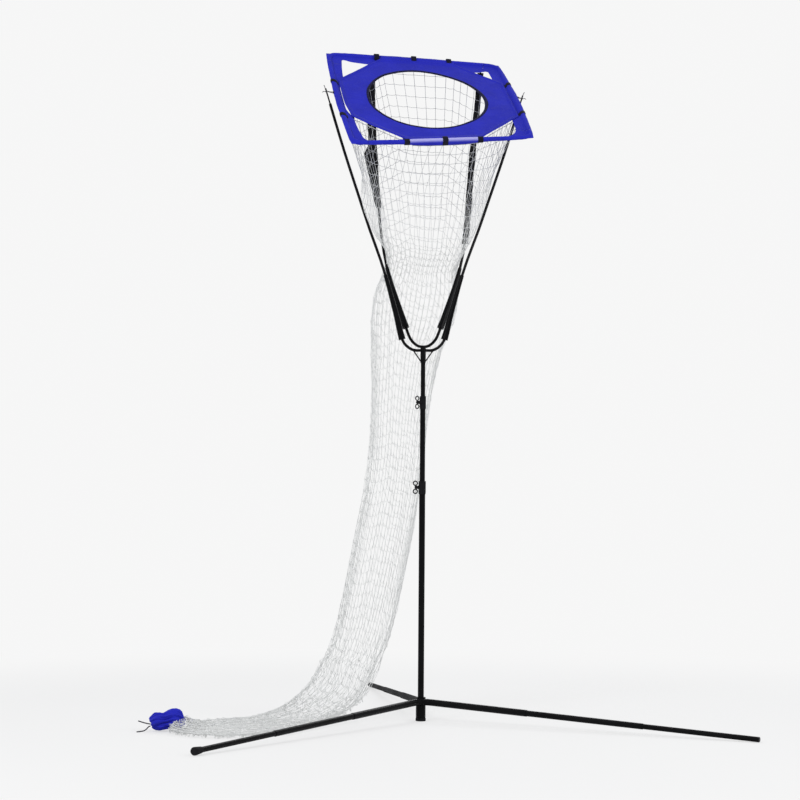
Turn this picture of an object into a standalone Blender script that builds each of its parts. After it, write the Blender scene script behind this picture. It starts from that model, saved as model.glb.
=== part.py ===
"""A volleyball target with a ball-return net, standing on a three-legged base.

Everything is in metres, +Z up. The origin is the middle of the foot under the mast,
on the floor. The player stands on the -Y side, and the net's chute runs off to -X.
"""

import math

import bmesh
import bpy
from mathutils import Matrix, Vector

# Clearances
GAP = 0.0003
FLOOR_SKIN = 0.0005

# Base: a post with three legs, each in three plugged sections
HUB_HEIGHT = 0.074
LEG_REACH = 1.342
LEG_AZIMUTHS = {"left": 235.0, "right": 333.0, "rear": 99.0}
LEG_INNER_RADIUS = 0.0127
LEG_MIDDLE_RADIUS = 0.0112
LEG_OUTER_RADIUS = 0.0097
TUBE_WALL = 0.0012
LEG_INNER_LENGTH = 0.440
LEG_MIDDLE_LENGTH = 0.460
LEG_PLUG = 0.060
BOW_BEND_RADIUS = 0.050
END_WALL = 0.003
FOOT_CAP_RADIUS = 0.0145
FOOT_CAP_LENGTH = 0.042
FOOT_CAP_WALL = 0.004
POST_RADIUS = 0.0185
POST_BOTTOM = 0.012
POST_TOP = 0.090
POST_FOOT_RADIUS = 0.0195
POST_FOOT_SPIGOT = 0.009

# Mast: three telescoping tubes with a collar and a wing bolt at each step
MAST_RADII = (0.0116, 0.0101, 0.0086)
LOWER_COLLAR_Z = 0.860
UPPER_COLLAR_Z = 1.183
COLLAR_HEIGHT = 0.050
COLLAR_SEAT = 0.015
COLLAR_WALL = 0.0021
COLLAR_CHAMFER = 0.0014
BOLT_HEIGHT_IN_COLLAR = 0.026
BOSS_RADIUS = 0.0068
BOSS_REACH = 0.0176
LOWER_BOLT_AZIMUTH = 180.0
UPPER_BOLT_AZIMUTH = 215.0
BOLT_SHANK_RADIUS = 0.0029
BOLT_HOLE_RADIUS = 0.0034
BOLT_HUB_RADIUS = 0.0065
BOLT_HUB_REACH = 0.0290
WING_RING_RADIUS = 0.0078
WING_WIRE_RADIUS = 0.0023
WING_SPREAD = 0.0155
WING_REACH = 0.0262
MIDDLE_TUBE_LENGTH = 0.850
UPPER_TUBE_LENGTH = 0.750
MAST_TOP = 1.4155

# Fork head, arms and rods
SOCKET_WALL = 0.0014
SOCKET_BOTTOM = 1.360
SOCKET_CAP = 0.004
LINK_RADIUS = 0.0057
BRACE_RADIUS = 0.0024
ARM_FOOT_RADIUS = 0.0132
ARM_TOP_RADIUS = 0.0074
ARM_LENGTH = 0.255
ARM_FOOT_PLUG = 0.025
ROD_RADIUS = 0.0055
ROD_TIP_RADIUS = 0.0030
ROD_TIP_LENGTH = 0.060
SIDE_ROD_LEAN = {"left": -0.055, "right": 0.090}
ROD_PLUG = 0.060
SIDE_LINK_LENGTH = 0.098
REAR_LINK_LENGTH = 0.122
POLE_SLEEVE_HALF_WIDTHS = {"left": (0.0100, 0.0255), "right": (0.0115, 0.0115)}
POLE_SLEEVE_FLARE = 0.260
POLE_SLEEVE_HALF_THICKNESS = 0.0088
POLE_SLEEVE_LENGTHS = {"left": 0.550, "right": 0.690}
POLE_SLEEVE_DROP = 0.010
TIE_RADIUS = 0.0015
TIE_DROP = 0.012

# Target frame and panel
FRAME_WIDTH = 0.696
FRAME_DEPTH = 0.675
FRAME_CENTRE = Vector((0.013, -0.002, 2.364))
FRAME_YAW = 10.2
FRAME_TILT = 35.1
FRAME_TWIST = 0.019
FRAME_TUBE_RADIUS = 0.0080
FRAME_BEND_RADIUS = 0.030
FRAME_JOINT_OFFSET = 0.055
SLEEVE_RADIUS = 0.0145
GUSSET_THICKNESS = 0.003
GUSSET_LENGTH = 0.114
GUSSET_TAPER = 0.026
GUSSET_START = 0.004
GUSSET_ROOT = 0.0125
GUSSET_STEP = 0.001
GUSSET_REACHES = {"front": 0.021, "right": 0.048, "rear": 0.033, "left": 0.048}
PANEL_THICKNESS = 0.003
PANEL_EDGE_GAP = 0.006
PANEL_CORNER_CUTS = (0.187, 0.181, 0.151, 0.177)
HOLE_RADIUS = 0.232
BINDING_WIDTH = 0.010
BINDING_THICKNESS = 0.006
STRAP_WIDTH = 0.020
STRAP_THICKNESS = 0.0015
STRAP_LAP = 0.022
STRAP_START = 58.0
STRAPS = {
    "front": (0.306, 0.514, 0.710),
    "right": (0.360, 0.770),
    "rear": (0.324, 0.523, 0.715),
    "left": (0.300, 0.667),
}
REAR_ROD_PLACES = {"left": 0.255, "right": 0.879}
REAR_ROD_BOWS = {"left": 0.008, "right": 0.003}
REAR_TIP_BEHIND = {"left": 0.0167, "right": 0.0160}

# Net
STRAND_WIDTH = 0.0040
STRAND_THICKNESS = 0.0030
NET_HANG = 0.0176
NET_INSET = 0.004
SEAM_GAP = 0.0020
FUNNEL_CELLS = (5, 6)
CHUTE_CELLS = (2, 11)

# Level sections of the net below the frame, each as its height and its four corners:
# front left, front right, rear right, rear left
FUNNEL_SECTIONS = (
    (2.000, (-0.245, -0.150), (0.250, -0.120), (0.165, 0.140), (-0.160, 0.130)),
    (1.860, (-0.197, -0.085), (0.196, -0.080), (0.136, 0.108), (-0.136, 0.106)),
    (1.790, (-0.145, -0.012), (0.145, -0.012), (0.122, 0.170), (-0.126, 0.170)),
)
CHUTE_SECTIONS = (
    (1.7892, (-0.145, -0.0115), (0.145, -0.010), (0.122, 0.171), (-0.126, 0.171)),
    (1.720, (-0.120, 0.124), (0.116, 0.124), (0.116, 0.258), (-0.120, 0.258)),
    (1.655, (-0.160, 0.126), (0.126, 0.126), (0.126, 0.268), (-0.160, 0.268)),
    (1.540, (-0.190, 0.122), (0.108, 0.122), (0.108, 0.268), (-0.190, 0.268)),
    (1.408, (-0.193, 0.115), (0.084, 0.115), (0.084, 0.260), (-0.193, 0.260)),
    (1.200, (-0.193, 0.100), (0.030, 0.100), (0.030, 0.240), (-0.193, 0.240)),
    (0.960, (-0.232, 0.085), (-0.005, 0.085), (-0.005, 0.222), (-0.232, 0.222)),
    (0.720, (-0.270, 0.070), (-0.041, 0.070), (-0.041, 0.205), (-0.270, 0.205)),
    (0.380, (-0.353, 0.020), (-0.095, 0.020), (-0.095, 0.160), (-0.353, 0.160)),
    (0.236, (-0.402, -0.018), (-0.142, -0.018), (-0.142, 0.122), (-0.402, 0.122)),
)

# The net on the floor, as stations: middle, half size in the bend, half size across it
CHUTE_FOOT_STATIONS = (
    ((-0.272, 0.052, 0.2344), 0.130, 0.070),
    ((-0.302, 0.044, 0.168), 0.108, 0.078),
    ((-0.350, -0.005, 0.108), 0.080, 0.092),
    ((-0.430, -0.090, 0.055), 0.048, 0.108),
    ((-0.540, -0.180, 0.031), 0.030, 0.120),
    ((-0.680, -0.278, 0.027), 0.026, 0.114),
    ((-0.780, -0.334, 0.027), 0.026, 0.088),
    ((-0.842, -0.364, 0.029), 0.028, 0.048),
    ((-0.866, -0.374, 0.030), 0.024, 0.026),
)
FOOT_FOLDS = 9
FOOT_FOLD_DEPTH = 0.09
END_SLEEVE_STATIONS = (
    ((-0.8670, -0.3745, 0.031), 0.022, 0.024),
    ((-0.882, -0.381, 0.0315), 0.037, 0.040),
    ((-0.915, -0.386, 0.043), 0.043, 0.046),
    ((-0.950, -0.390, 0.042), 0.042, 0.045),
    ((-0.976, -0.392, 0.036), 0.036, 0.038),
    ((-0.984, -0.393, 0.036), 0.028, 0.028),
)
END_SLEEVE_PLEATS = 11
PLEAT_DEPTH = 0.10
DRAWSTRING_RADIUS = 0.0022
DRAWSTRINGS = {
    "front": (
        (-0.9840, -0.3981, 0.030),
        (-0.9915, -0.3991, 0.0275),
        (-1.002, -0.404, 0.010),
        (-1.013, -0.411, 0.0028),
        (-1.026, -0.417, 0.0028),
    ),
    "rear": (
        (-0.9850, -0.3891, 0.041),
        (-0.9930, -0.3901, 0.0415),
        (-1.005, -0.386, 0.034),
        (-1.015, -0.380, 0.020),
        (-1.024, -0.377, 0.0075),
        (-1.032, -0.374, 0.0028),
    ),
}

FINE_ROUND = 24
ROUND = 16


def clear_scene():
    for item in list(bpy.data.objects):
        bpy.data.objects.remove(item, do_unlink=True)


def new_collection(name):
    made = bpy.data.collections.new(name)
    bpy.context.scene.collection.children.link(made)
    return made


clear_scene()
PARTS = new_collection("volleyball_return_target")
HELPERS = new_collection("cutters")


def new_material(name, colour, roughness, metallic=0.0):
    made = bpy.data.materials.new(name)
    made.use_nodes = True
    shader = made.node_tree.nodes["Principled BSDF"]
    shader.inputs["Base Color"].default_value = (*colour, 1.0)
    shader.inputs["Roughness"].default_value = roughness
    shader.inputs["Metallic"].default_value = metallic
    made.diffuse_color = (*colour, 1.0)
    return made


BLACK_PAINT = new_material("black_gloss_paint", (0.012, 0.012, 0.014), 0.22, 0.3)
BLACK_RUBBER = new_material("black_rubber", (0.020, 0.020, 0.021), 0.75)
BLACK_PLASTIC = new_material("black_plastic", (0.022, 0.022, 0.024), 0.45)
ROD_FINISH = new_material("rod_black", (0.010, 0.010, 0.011), 0.30)
BLUE_FABRIC = new_material("blue_fabric", (0.028, 0.035, 0.51), 0.80)
BLACK_WEBBING = new_material("black_webbing", (0.012, 0.012, 0.014), 0.85)
WHITE_NET = new_material("white_net", (0.86, 0.87, 0.88), 0.70)
DARK_CORD = new_material("dark_cord", (0.030, 0.028, 0.040), 0.80)


def finish_object(item, material, smooth=True):
    """Gives an object its material and keeps its hard edges when it is shaded smooth."""
    item.data.materials.clear()
    item.data.materials.append(material)
    if smooth:
        item.data.shade_smooth()
        item.data.set_sharp_from_angle(angle=math.radians(40))
    return item


def mesh_object(name, mesh, collection=None):
    item = bpy.data.objects.new(name, mesh)
    (collection or PARTS).objects.link(item)
    return item


def as_helper(item):
    """Turns an object into a cutter or a shape to be joined, which is no part itself."""
    for owner in list(item.users_collection):
        owner.objects.unlink(item)
    HELPERS.objects.link(item)
    item.hide_render = True
    item.display_type = "WIRE"
    return item


def combine(item, other, operation):
    """Cuts the other shape out of the item, or joins it on."""
    as_helper(other)
    modifier = item.modifiers.new(operation.title(), "BOOLEAN")
    modifier.operation = operation
    modifier.solver = "EXACT"
    modifier.object = other
    return item


def placed_along(item, start, direction):
    """Puts the item's own origin at start and its own Z along direction."""
    item.location = start
    item.rotation_euler = Vector(direction).to_track_quat("Z", "Y").to_euler()
    return item


def turned(name, profile, closed=False, sides=ROUND):
    """A profile of (radius, height) points turned about Z. It runs down its outer side."""
    mesh = bpy.data.meshes.new(name)
    points = [(radius, 0.0, height) for radius, height in profile]
    edges = [(i, i + 1) for i in range(len(points) - 1)]
    if closed:
        edges.append((len(points) - 1, 0))
    mesh.from_pydata(points, edges, [])
    item = mesh_object(name, mesh)
    screw = item.modifiers.new("Turn", "SCREW")
    screw.axis = "Z"
    screw.angle = math.tau
    screw.steps = sides
    screw.render_steps = sides
    screw.use_merge_vertices = True
    screw.merge_threshold = 0.00001
    return item


def settled(item):
    """Replaces an object by the mesh that its modifiers or its curve make."""
    bpy.context.view_layer.update()
    graph = bpy.context.evaluated_depsgraph_get()
    mesh = bpy.data.meshes.new_from_object(item.evaluated_get(graph))
    bm = bmesh.new()
    bm.from_mesh(mesh)
    bmesh.ops.remove_doubles(bm, verts=bm.verts, dist=0.000005)
    bmesh.ops.recalc_face_normals(bm, faces=bm.faces)
    bm.to_mesh(mesh)
    bm.free()
    name, matrix = item.name, item.matrix_world.copy()
    bpy.data.objects.remove(item, do_unlink=True)
    made = mesh_object(name, mesh)
    made.matrix_world = matrix
    return made


def tube(name, outer, inner, bottom, top, sides=ROUND):
    """An open round tube standing on Z."""
    profile = [(outer, top), (outer, bottom), (inner, bottom), (inner, top)]
    return turned(name, profile, closed=True, sides=sides)


def bar(name, radius, bottom, top, sides=ROUND):
    """A solid round bar standing on Z."""
    profile = [(0.0, top), (radius, top), (radius, bottom), (0.0, bottom)]
    return turned(name, profile, sides=sides)


def wire(name, points, radii, resolution=3):
    """A solid round bar along points, with one radius or one for each point."""
    curve = bpy.data.curves.new(name, "CURVE")
    curve.dimensions = "3D"
    curve.bevel_depth = 1.0
    curve.bevel_resolution = resolution
    curve.use_fill_caps = True
    spline = curve.splines.new("POLY")
    spline.points.add(len(points) - 1)
    for index, point in enumerate(points):
        radius = radii if isinstance(radii, float) else radii[index]
        spline.points[index].co = (*point, 1.0)
        spline.points[index].radius = radius
    item = bpy.data.objects.new(name, curve)
    PARTS.objects.link(item)
    return settled(item)


def direction_of(azimuth, drop=0.0):
    """A unit vector at an azimuth in degrees from +X, falling by drop for each metre."""
    turn = math.radians(azimuth)
    return Vector((math.cos(turn), math.sin(turn), -drop)).normalized()


def smooth_run(points, per_span=10):
    """A dense Catmull-Rom run through a few points."""
    points = [Vector(p) for p in points]
    ends = [2 * points[0] - points[1], *points, 2 * points[-1] - points[-2]]
    run = []
    for a, b, c, d in zip(ends, ends[1:], ends[2:], ends[3:]):
        for step in range(per_span):
            t = step / per_span
            bend = 2 * a - 5 * b + 4 * c - d
            twist = 3 * b - a - 3 * c + d
            run.append(0.5 * (2 * b + (c - a) * t + bend * t * t + twist * t**3))
    run.append(points[-1])
    return run


class Path:
    """A smooth run that can be read by its length."""

    def __init__(self, points):
        self.points = smooth_run(points)
        self.marks = [0.0]
        for a, b in zip(self.points, self.points[1:]):
            self.marks.append(self.marks[-1] + (b - a).length)
        self.length = self.marks[-1]

    def at(self, distance):
        distance = min(max(distance, 0.0), self.length)
        for index in range(len(self.points) - 1):
            if distance <= self.marks[index + 1]:
                break
        span = self.marks[index + 1] - self.marks[index]
        share = (distance - self.marks[index]) / span
        return self.points[index].lerp(self.points[index + 1], share)

    def heading(self, distance):
        return (self.at(distance + 0.004) - self.at(distance - 0.004)).normalized()

    def stretch(self, start, end, step):
        count = max(1, round((end - start) / step))
        return [self.at(start + (end - start) * i / count) for i in range(count + 1)]


# Base


def leg_line(side):
    """Where a leg leaves the hub and the way it runs down to its end on the floor."""
    rest = FOOT_CAP_RADIUS if side == "left" else LEG_OUTER_RADIUS
    drop = (HUB_HEIGHT - rest) / LEG_REACH
    return Vector((0.0, 0.0, HUB_HEIGHT)), direction_of(LEG_AZIMUTHS[side], drop)


def rounded_corner(corner, into, out, radius, steps=5):
    """Points on the arc that rounds a corner between two straight runs."""
    half = into.angle(out) / 2
    reach = radius * math.tan(half)
    middle = corner + (out - into).normalized() * radius / math.cos(half)
    first = corner - into * reach - middle
    axis = into.cross(out).normalized()
    turn = 2 * half / steps
    return [middle + Matrix.Rotation(turn * i, 3, axis) @ first for i in range(steps + 1)]


def build_base_hub():
    """The post with the front bow and the rear stub welded to it."""
    hub, left = leg_line("left")
    right = leg_line("right")[1]
    rear = leg_line("rear")[1]
    bow = [hub + left * LEG_INNER_LENGTH]
    bow += rounded_corner(hub, -left, right, BOW_BEND_RADIUS)
    bow.append(hub + right * LEG_INNER_LENGTH)
    body = tube("base_hub", POST_RADIUS, 0.002, POST_BOTTOM, POST_TOP)
    combine(body, wire("front_bow", bow, LEG_INNER_RADIUS, resolution=6), "UNION")
    stub = bar("rear_stub", LEG_INNER_RADIUS, 0.0, LEG_INNER_LENGTH)
    combine(body, placed_along(stub, hub, rear), "UNION")
    socket = LEG_INNER_RADIUS - TUBE_WALL
    for side in LEG_AZIMUTHS:
        start, way = leg_line(side)
        bore = bar(f"{side}_socket", socket, 0.0, LEG_PLUG + 0.02)
        mouth = start + way * (LEG_INNER_LENGTH - LEG_PLUG - GAP)
        combine(body, placed_along(bore, mouth, way), "DIFFERENCE")
    bore = bar("mast_bore", MAST_RADII[0] + GAP, 0.0, POST_TOP + 0.05)
    combine(body, bore, "DIFFERENCE")
    return finish_object(body, BLACK_PAINT)


def build_post_foot():
    """The rubber foot under the post: a disc with a spigot inside the post."""
    spigot = MAST_RADII[0] - GAP
    top = POST_BOTTOM + POST_FOOT_SPIGOT
    shoulder = POST_BOTTOM - GAP
    edge = 0.0015
    profile = [
        (0.0, top),
        (spigot, top),
        (spigot, shoulder),
        (POST_FOOT_RADIUS - edge, shoulder),
        (POST_FOOT_RADIUS, shoulder - edge),
        (POST_FOOT_RADIUS, edge),
        (POST_FOOT_RADIUS - edge, 0.0),
        (0.0, 0.0),
    ]
    return finish_object(turned("post_foot", profile, sides=FINE_ROUND), BLACK_RUBBER)


def leg_sections():
    """Start and end of the middle and the outer section, measured along a leg."""
    middle_start = LEG_INNER_LENGTH - LEG_PLUG
    middle_end = LEG_INNER_LENGTH + LEG_MIDDLE_LENGTH
    outer_start = middle_end - LEG_PLUG
    return (middle_start, middle_end), (outer_start, LEG_REACH)


def build_leg(side):
    """The two sections that plug on below the hub's own, and the end that stands."""
    start, way = leg_line(side)
    (middle_start, middle_end), (outer_start, outer_end) = leg_sections()
    middle = tube(
        f"{side}_leg_middle",
        LEG_MIDDLE_RADIUS,
        LEG_MIDDLE_RADIUS - TUBE_WALL,
        middle_start,
        middle_end,
    )
    finish_object(placed_along(middle, start, way), BLACK_PAINT)
    outer, inner = LEG_OUTER_RADIUS, LEG_OUTER_RADIUS - TUBE_WALL
    edge = 0.0012
    profile = [
        (0.0, outer_end),
        (outer - edge, outer_end),
        (outer, outer_end - edge),
        (outer, outer_start),
        (inner, outer_start),
        (inner, outer_end - END_WALL),
        (0.0, outer_end - END_WALL),
    ]
    item = turned(f"{side}_leg_outer", profile)
    return finish_object(placed_along(item, start, way), BLACK_PAINT)


def build_foot_cap():
    """The rubber cap pulled over the left leg's end."""
    start, way = leg_line("left")
    inner = LEG_OUTER_RADIUS + GAP
    mouth = LEG_REACH - FOOT_CAP_LENGTH
    seat = LEG_REACH + GAP
    nose = seat + FOOT_CAP_WALL
    ball = LEG_REACH - FOOT_CAP_RADIUS * 0.6
    profile = [(0.0, nose)]
    for step in range(1, 6):
        turn = math.radians(18 * step)
        radius = FOOT_CAP_RADIUS * math.sin(turn)
        profile.append((radius, ball + (nose - ball) * math.cos(turn)))
    profile += [
        (FOOT_CAP_RADIUS, ball - 0.004),
        (inner + 0.0024, mouth + 0.008),
        (inner + 0.0016, mouth),
        (inner, mouth),
        (inner, seat),
        (0.0, seat),
    ]
    item = turned("left_foot_cap", profile)
    return finish_object(placed_along(item, start, way), BLACK_RUBBER)


# Mast


def build_mast_tube(name, index, bottom, top):
    radius = MAST_RADII[index]
    item = tube(name, radius, radius - TUBE_WALL, bottom, top)
    return finish_object(item, BLACK_PAINT)


def build_collar(name, index, bottom, azimuth):
    """A clamp collar: it sits on the wider tube's end, and its bolt grips the slimmer one."""
    top = bottom + COLLAR_HEIGHT
    outer = MAST_RADII[index] + COLLAR_WALL
    wide, slim = MAST_RADII[index] + GAP, MAST_RADII[index + 1] + GAP
    step = bottom + COLLAR_SEAT
    profile = [
        (outer - COLLAR_CHAMFER, top),
        (outer, top - COLLAR_CHAMFER),
        (outer, bottom + 4 * COLLAR_CHAMFER),
        (wide + 0.0008, bottom),
        (wide, bottom),
        (wide, step),
        (slim, step),
        (slim, top),
    ]
    body = turned(name, profile, closed=True, sides=FINE_ROUND)
    way = direction_of(azimuth)
    at = Vector((0.0, 0.0, bottom + BOLT_HEIGHT_IN_COLLAR))
    boss = bar(f"{name}_boss", BOSS_RADIUS, slim + 0.001, BOSS_REACH)
    combine(body, placed_along(boss, at, way), "UNION")
    hole = bar(f"{name}_hole", BOLT_HOLE_RADIUS, slim - 0.002, BOSS_REACH + 0.01)
    combine(body, placed_along(hole, at, way), "DIFFERENCE")
    return finish_object(body, BLACK_PLASTIC)


def build_wing_bolt(name, index, bottom, azimuth):
    """A wing bolt with two ring-shaped wings. Its own Z is its axis, pointing outwards."""
    tip = MAST_RADII[index + 1] + GAP
    seat = BOSS_REACH + GAP
    profile = [
        (0.0, BOLT_HUB_REACH),
        (BOLT_HUB_RADIUS * 0.62, BOLT_HUB_REACH),
        (BOLT_HUB_RADIUS * 0.80, BOLT_HUB_REACH - 0.001),
        (BOLT_HUB_RADIUS, seat + 0.002),
        (BOLT_HUB_RADIUS, seat),
        (BOLT_SHANK_RADIUS, seat),
        (BOLT_SHANK_RADIUS, tip + 0.0008),
        (BOLT_SHANK_RADIUS - 0.0008, tip),
        (0.0, tip),
    ]
    body = turned(name, profile)
    at = Vector((0.0, 0.0, bottom + BOLT_HEIGHT_IN_COLLAR))
    way = direction_of(azimuth)
    turn = Matrix.Rotation(math.radians(azimuth), 4, "Z")
    for sign in (-1, 1):
        bpy.ops.mesh.primitive_torus_add(
            major_radius=WING_RING_RADIUS,
            minor_radius=WING_WIRE_RADIUS,
            major_segments=16,
            minor_segments=6,
        )
        ring = bpy.context.object
        ring.name = f"{name}_wing"
        lying = Matrix.Rotation(math.radians(90), 4, "X")
        offset = Matrix.Translation((WING_REACH, 0.0, sign * WING_SPREAD))
        ring.matrix_world = Matrix.Translation(at) @ turn @ offset @ lying
        combine(body, ring, "UNION")
    placed_along(body, at, way)
    return finish_object(body, BLACK_PLASTIC)


# Frame geometry: a square loop, yawed, tilted towards the player and slightly twisted


def frame_axes():
    yaw, tilt = math.radians(FRAME_YAW), math.radians(FRAME_TILT)
    turn = Matrix.Rotation(yaw, 3, "Z") @ Matrix.Rotation(tilt, 3, "X")
    return turn @ Vector((1, 0, 0)), turn @ Vector((0, 1, 0)), turn @ Vector((0, 0, 1))


ACROSS, DEEP, LIFT = frame_axes()
BACKWARDS = Vector((-ACROSS.y, ACROSS.x, 0.0)).normalized()


def on_frame(x, y, lift=0.0):
    """The point at x across and y deep from the frame's middle, lifted off its surface."""
    twist = -FRAME_TWIST * (x / (FRAME_WIDTH / 2)) * (y / (FRAME_DEPTH / 2))
    raised = Vector((0.0, 0.0, twist))
    return FRAME_CENTRE + ACROSS * x + DEEP * y + LIFT * lift + raised


SIDES = ("front", "right", "rear", "left")
CORNERS = ((-1, -1), (1, -1), (1, 1), (-1, 1))


def frame_corner(index, inset=0.0, lift=0.0):
    u, v = CORNERS[index % 4]
    return on_frame(u * (FRAME_WIDTH / 2 - inset), v * (FRAME_DEPTH / 2 - inset), lift)


def side_point(side, share, inset=0.0, lift=0.0):
    """A point along one side of the frame, share 0 at its first corner and 1 at its second."""
    index = SIDES.index(side)
    first = frame_corner(index, inset, lift)
    second = frame_corner(index + 1, inset, lift)
    return first.lerp(second, share)


def side_run(index, trim=0.0):
    """The centre line of one frame tube: a straight side and the bend at its end."""
    corners = [frame_corner(index + step) for step in range(3)]
    into = (corners[1] - corners[0]).normalized()
    out = (corners[2] - corners[1]).normalized()
    run = [corners[0] + into * (FRAME_JOINT_OFFSET - trim)]
    run += rounded_corner(corners[1], into, out, FRAME_BEND_RADIUS)
    run.append(corners[1] + out * (FRAME_JOINT_OFFSET - GAP + trim))
    return run


def side_length(index):
    return (frame_corner(index + 1) - frame_corner(index)).length


def inset_place(side, distance, inset):
    """Across and deep, at a distance along a side of the frame, moved inwards from it."""
    index = SIDES.index(side)
    (u, v), (p, q) = CORNERS[index], CORNERS[(index + 1) % 4]
    share = distance / side_length(index)
    x = (u + (p - u) * share) * FRAME_WIDTH / 2
    y = (v + (q - v) * share) * FRAME_DEPTH / 2
    if side in ("front", "rear"):
        return x, y - math.copysign(inset, y)
    return x - math.copysign(inset, x), y


def flat_strip(name, edges):
    """A strip in the frame's plane, through pairs of places on its outer and inner edge."""
    half = GUSSET_THICKNESS / 2
    rings = []
    for outer, inner in edges:
        rings.append(
            [
                on_frame(*outer, half),
                on_frame(*inner, half),
                on_frame(*inner, -half),
                on_frame(*outer, -half),
            ]
        )
    return lofted(name, rings)


def sleeve_gussets(index):
    """Where the cloth sleeve spreads flat beside its corners: a strip at each end."""
    side, after = SIDES[index], SIDES[(index + 1) % 4]
    reach, next_reach = GUSSET_REACHES[side], GUSSET_REACHES[after]
    length = side_length(index)
    ends = GUSSET_LENGTH + GUSSET_TAPER
    first = (
        (FRAME_JOINT_OFFSET + GUSSET_STEP, reach),
        (GUSSET_LENGTH, reach),
        (ends, GUSSET_ROOT),
    )
    starting = []
    for distance, inset in first:
        outer = inset_place(side, distance, GUSSET_START)
        starting.append((outer, inset_place(side, distance, inset)))
    turning = []
    for distance, inset in ((length - ends, GUSSET_ROOT), (length - GUSSET_LENGTH, reach)):
        outer = inset_place(side, distance, GUSSET_START)
        turning.append((outer, inset_place(side, distance, inset)))
    outer = inset_place(side, length - GUSSET_START, GUSSET_START)
    turning.append((outer, inset_place(side, length - next_reach, reach)))
    last = FRAME_JOINT_OFFSET - GAP - GUSSET_STEP
    outer = inset_place(after, last, GUSSET_START)
    turning.append((outer, inset_place(after, last, next_reach)))
    return (
        flat_strip(f"gusset_{side}_start", starting),
        flat_strip(f"gusset_{side}_corner", turning),
    )


def build_frame_side(index):
    """One frame tube and the padded sleeve round it."""
    side = SIDES[index]
    bar_item = wire(f"frame_tube_{side}", side_run(index), FRAME_TUBE_RADIUS, resolution=2)
    finish_object(bar_item, BLACK_PLASTIC)
    sleeve = wire(f"frame_sleeve_{side}", side_run(index), SLEEVE_RADIUS, resolution=4)
    for gusset in sleeve_gussets(index):
        combine(sleeve, gusset, "UNION")
    run = side_run(index, 0.01)
    bore = wire(f"sleeve_bore_{side}", run, FRAME_TUBE_RADIUS + 2 * GAP, resolution=2)
    combine(sleeve, bore, "DIFFERENCE")
    return finish_object(sleeve, BLUE_FABRIC)


def panel_reach(turn):
    """How far the panel's edge lies from its middle, at one angle."""
    inset = SLEEVE_RADIUS + PANEL_EDGE_GAP
    wide, deep = FRAME_WIDTH / 2 - inset, FRAME_DEPTH / 2 - inset
    signs = (1 if math.cos(turn) > 0 else -1, 1 if math.sin(turn) > 0 else -1)
    c, s = abs(math.cos(turn)), abs(math.sin(turn))
    cut = (wide + deep - PANEL_CORNER_CUTS[CORNERS.index(signs)]) / (c + s)
    return min(wide / max(c, 1e-6), deep / max(s, 1e-6), cut)


def panel_angles():
    """Even steps round the hole, with the eight corners of the panel's outline added."""
    inset = SLEEVE_RADIUS + PANEL_EDGE_GAP
    wide, deep = FRAME_WIDTH / 2 - inset, FRAME_DEPTH / 2 - inset
    corners = []
    for (u, v), cut in zip(CORNERS, PANEL_CORNER_CUTS):
        for x, y in ((u * wide, v * (deep - cut)), (u * (wide - cut), v * deep)):
            corners.append(math.atan2(y, x) % math.tau)
    even = [math.tau * i / 44 for i in range(44)]
    kept = [a for a in even if min(abs(a - b) for b in corners) > 0.04]
    return sorted(kept + corners)


def lofted(name, rings, closed_round=False):
    """A surface through rings of as many points each, capped unless it closes on itself."""
    mesh = bpy.data.meshes.new(name)
    bm = bmesh.new()
    rows = [[bm.verts.new(point) for point in ring] for ring in rings]
    pairs = list(zip(rows, rows[1:]))
    if closed_round:
        pairs.append((rows[-1], rows[0]))
    for first, second in pairs:
        for index in range(len(first)):
            after = (index + 1) % len(first)
            bm.faces.new((first[index], first[after], second[after], second[index]))
    if not closed_round:
        bm.faces.new(rows[0])
        bm.faces.new(rows[-1])
    bmesh.ops.recalc_face_normals(bm, faces=bm.faces)
    bm.to_mesh(mesh)
    bm.free()
    return mesh_object(name, mesh)


def build_target_panel():
    """The cloth panel: its corners are cut away, and its round hole has a bound rim."""
    rings = []
    flat, rim = PANEL_THICKNESS / 2, BINDING_THICKNESS / 2
    for turn in panel_angles():
        c, s = math.cos(turn), math.sin(turn)
        edge = panel_reach(turn)
        bound = HOLE_RADIUS + BINDING_WIDTH
        section = (
            (edge, flat),
            (bound, flat),
            (bound - 0.002, rim),
            (HOLE_RADIUS, rim),
            (HOLE_RADIUS, -rim),
            (bound - 0.002, -rim),
            (bound, -flat),
            (edge, -flat),
        )
        rings.append([on_frame(c * r, s * r, lift) for r, lift in section])
    item = lofted("target_panel", rings, closed_round=True)
    return finish_object(item, BLUE_FABRIC, smooth=False)


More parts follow.
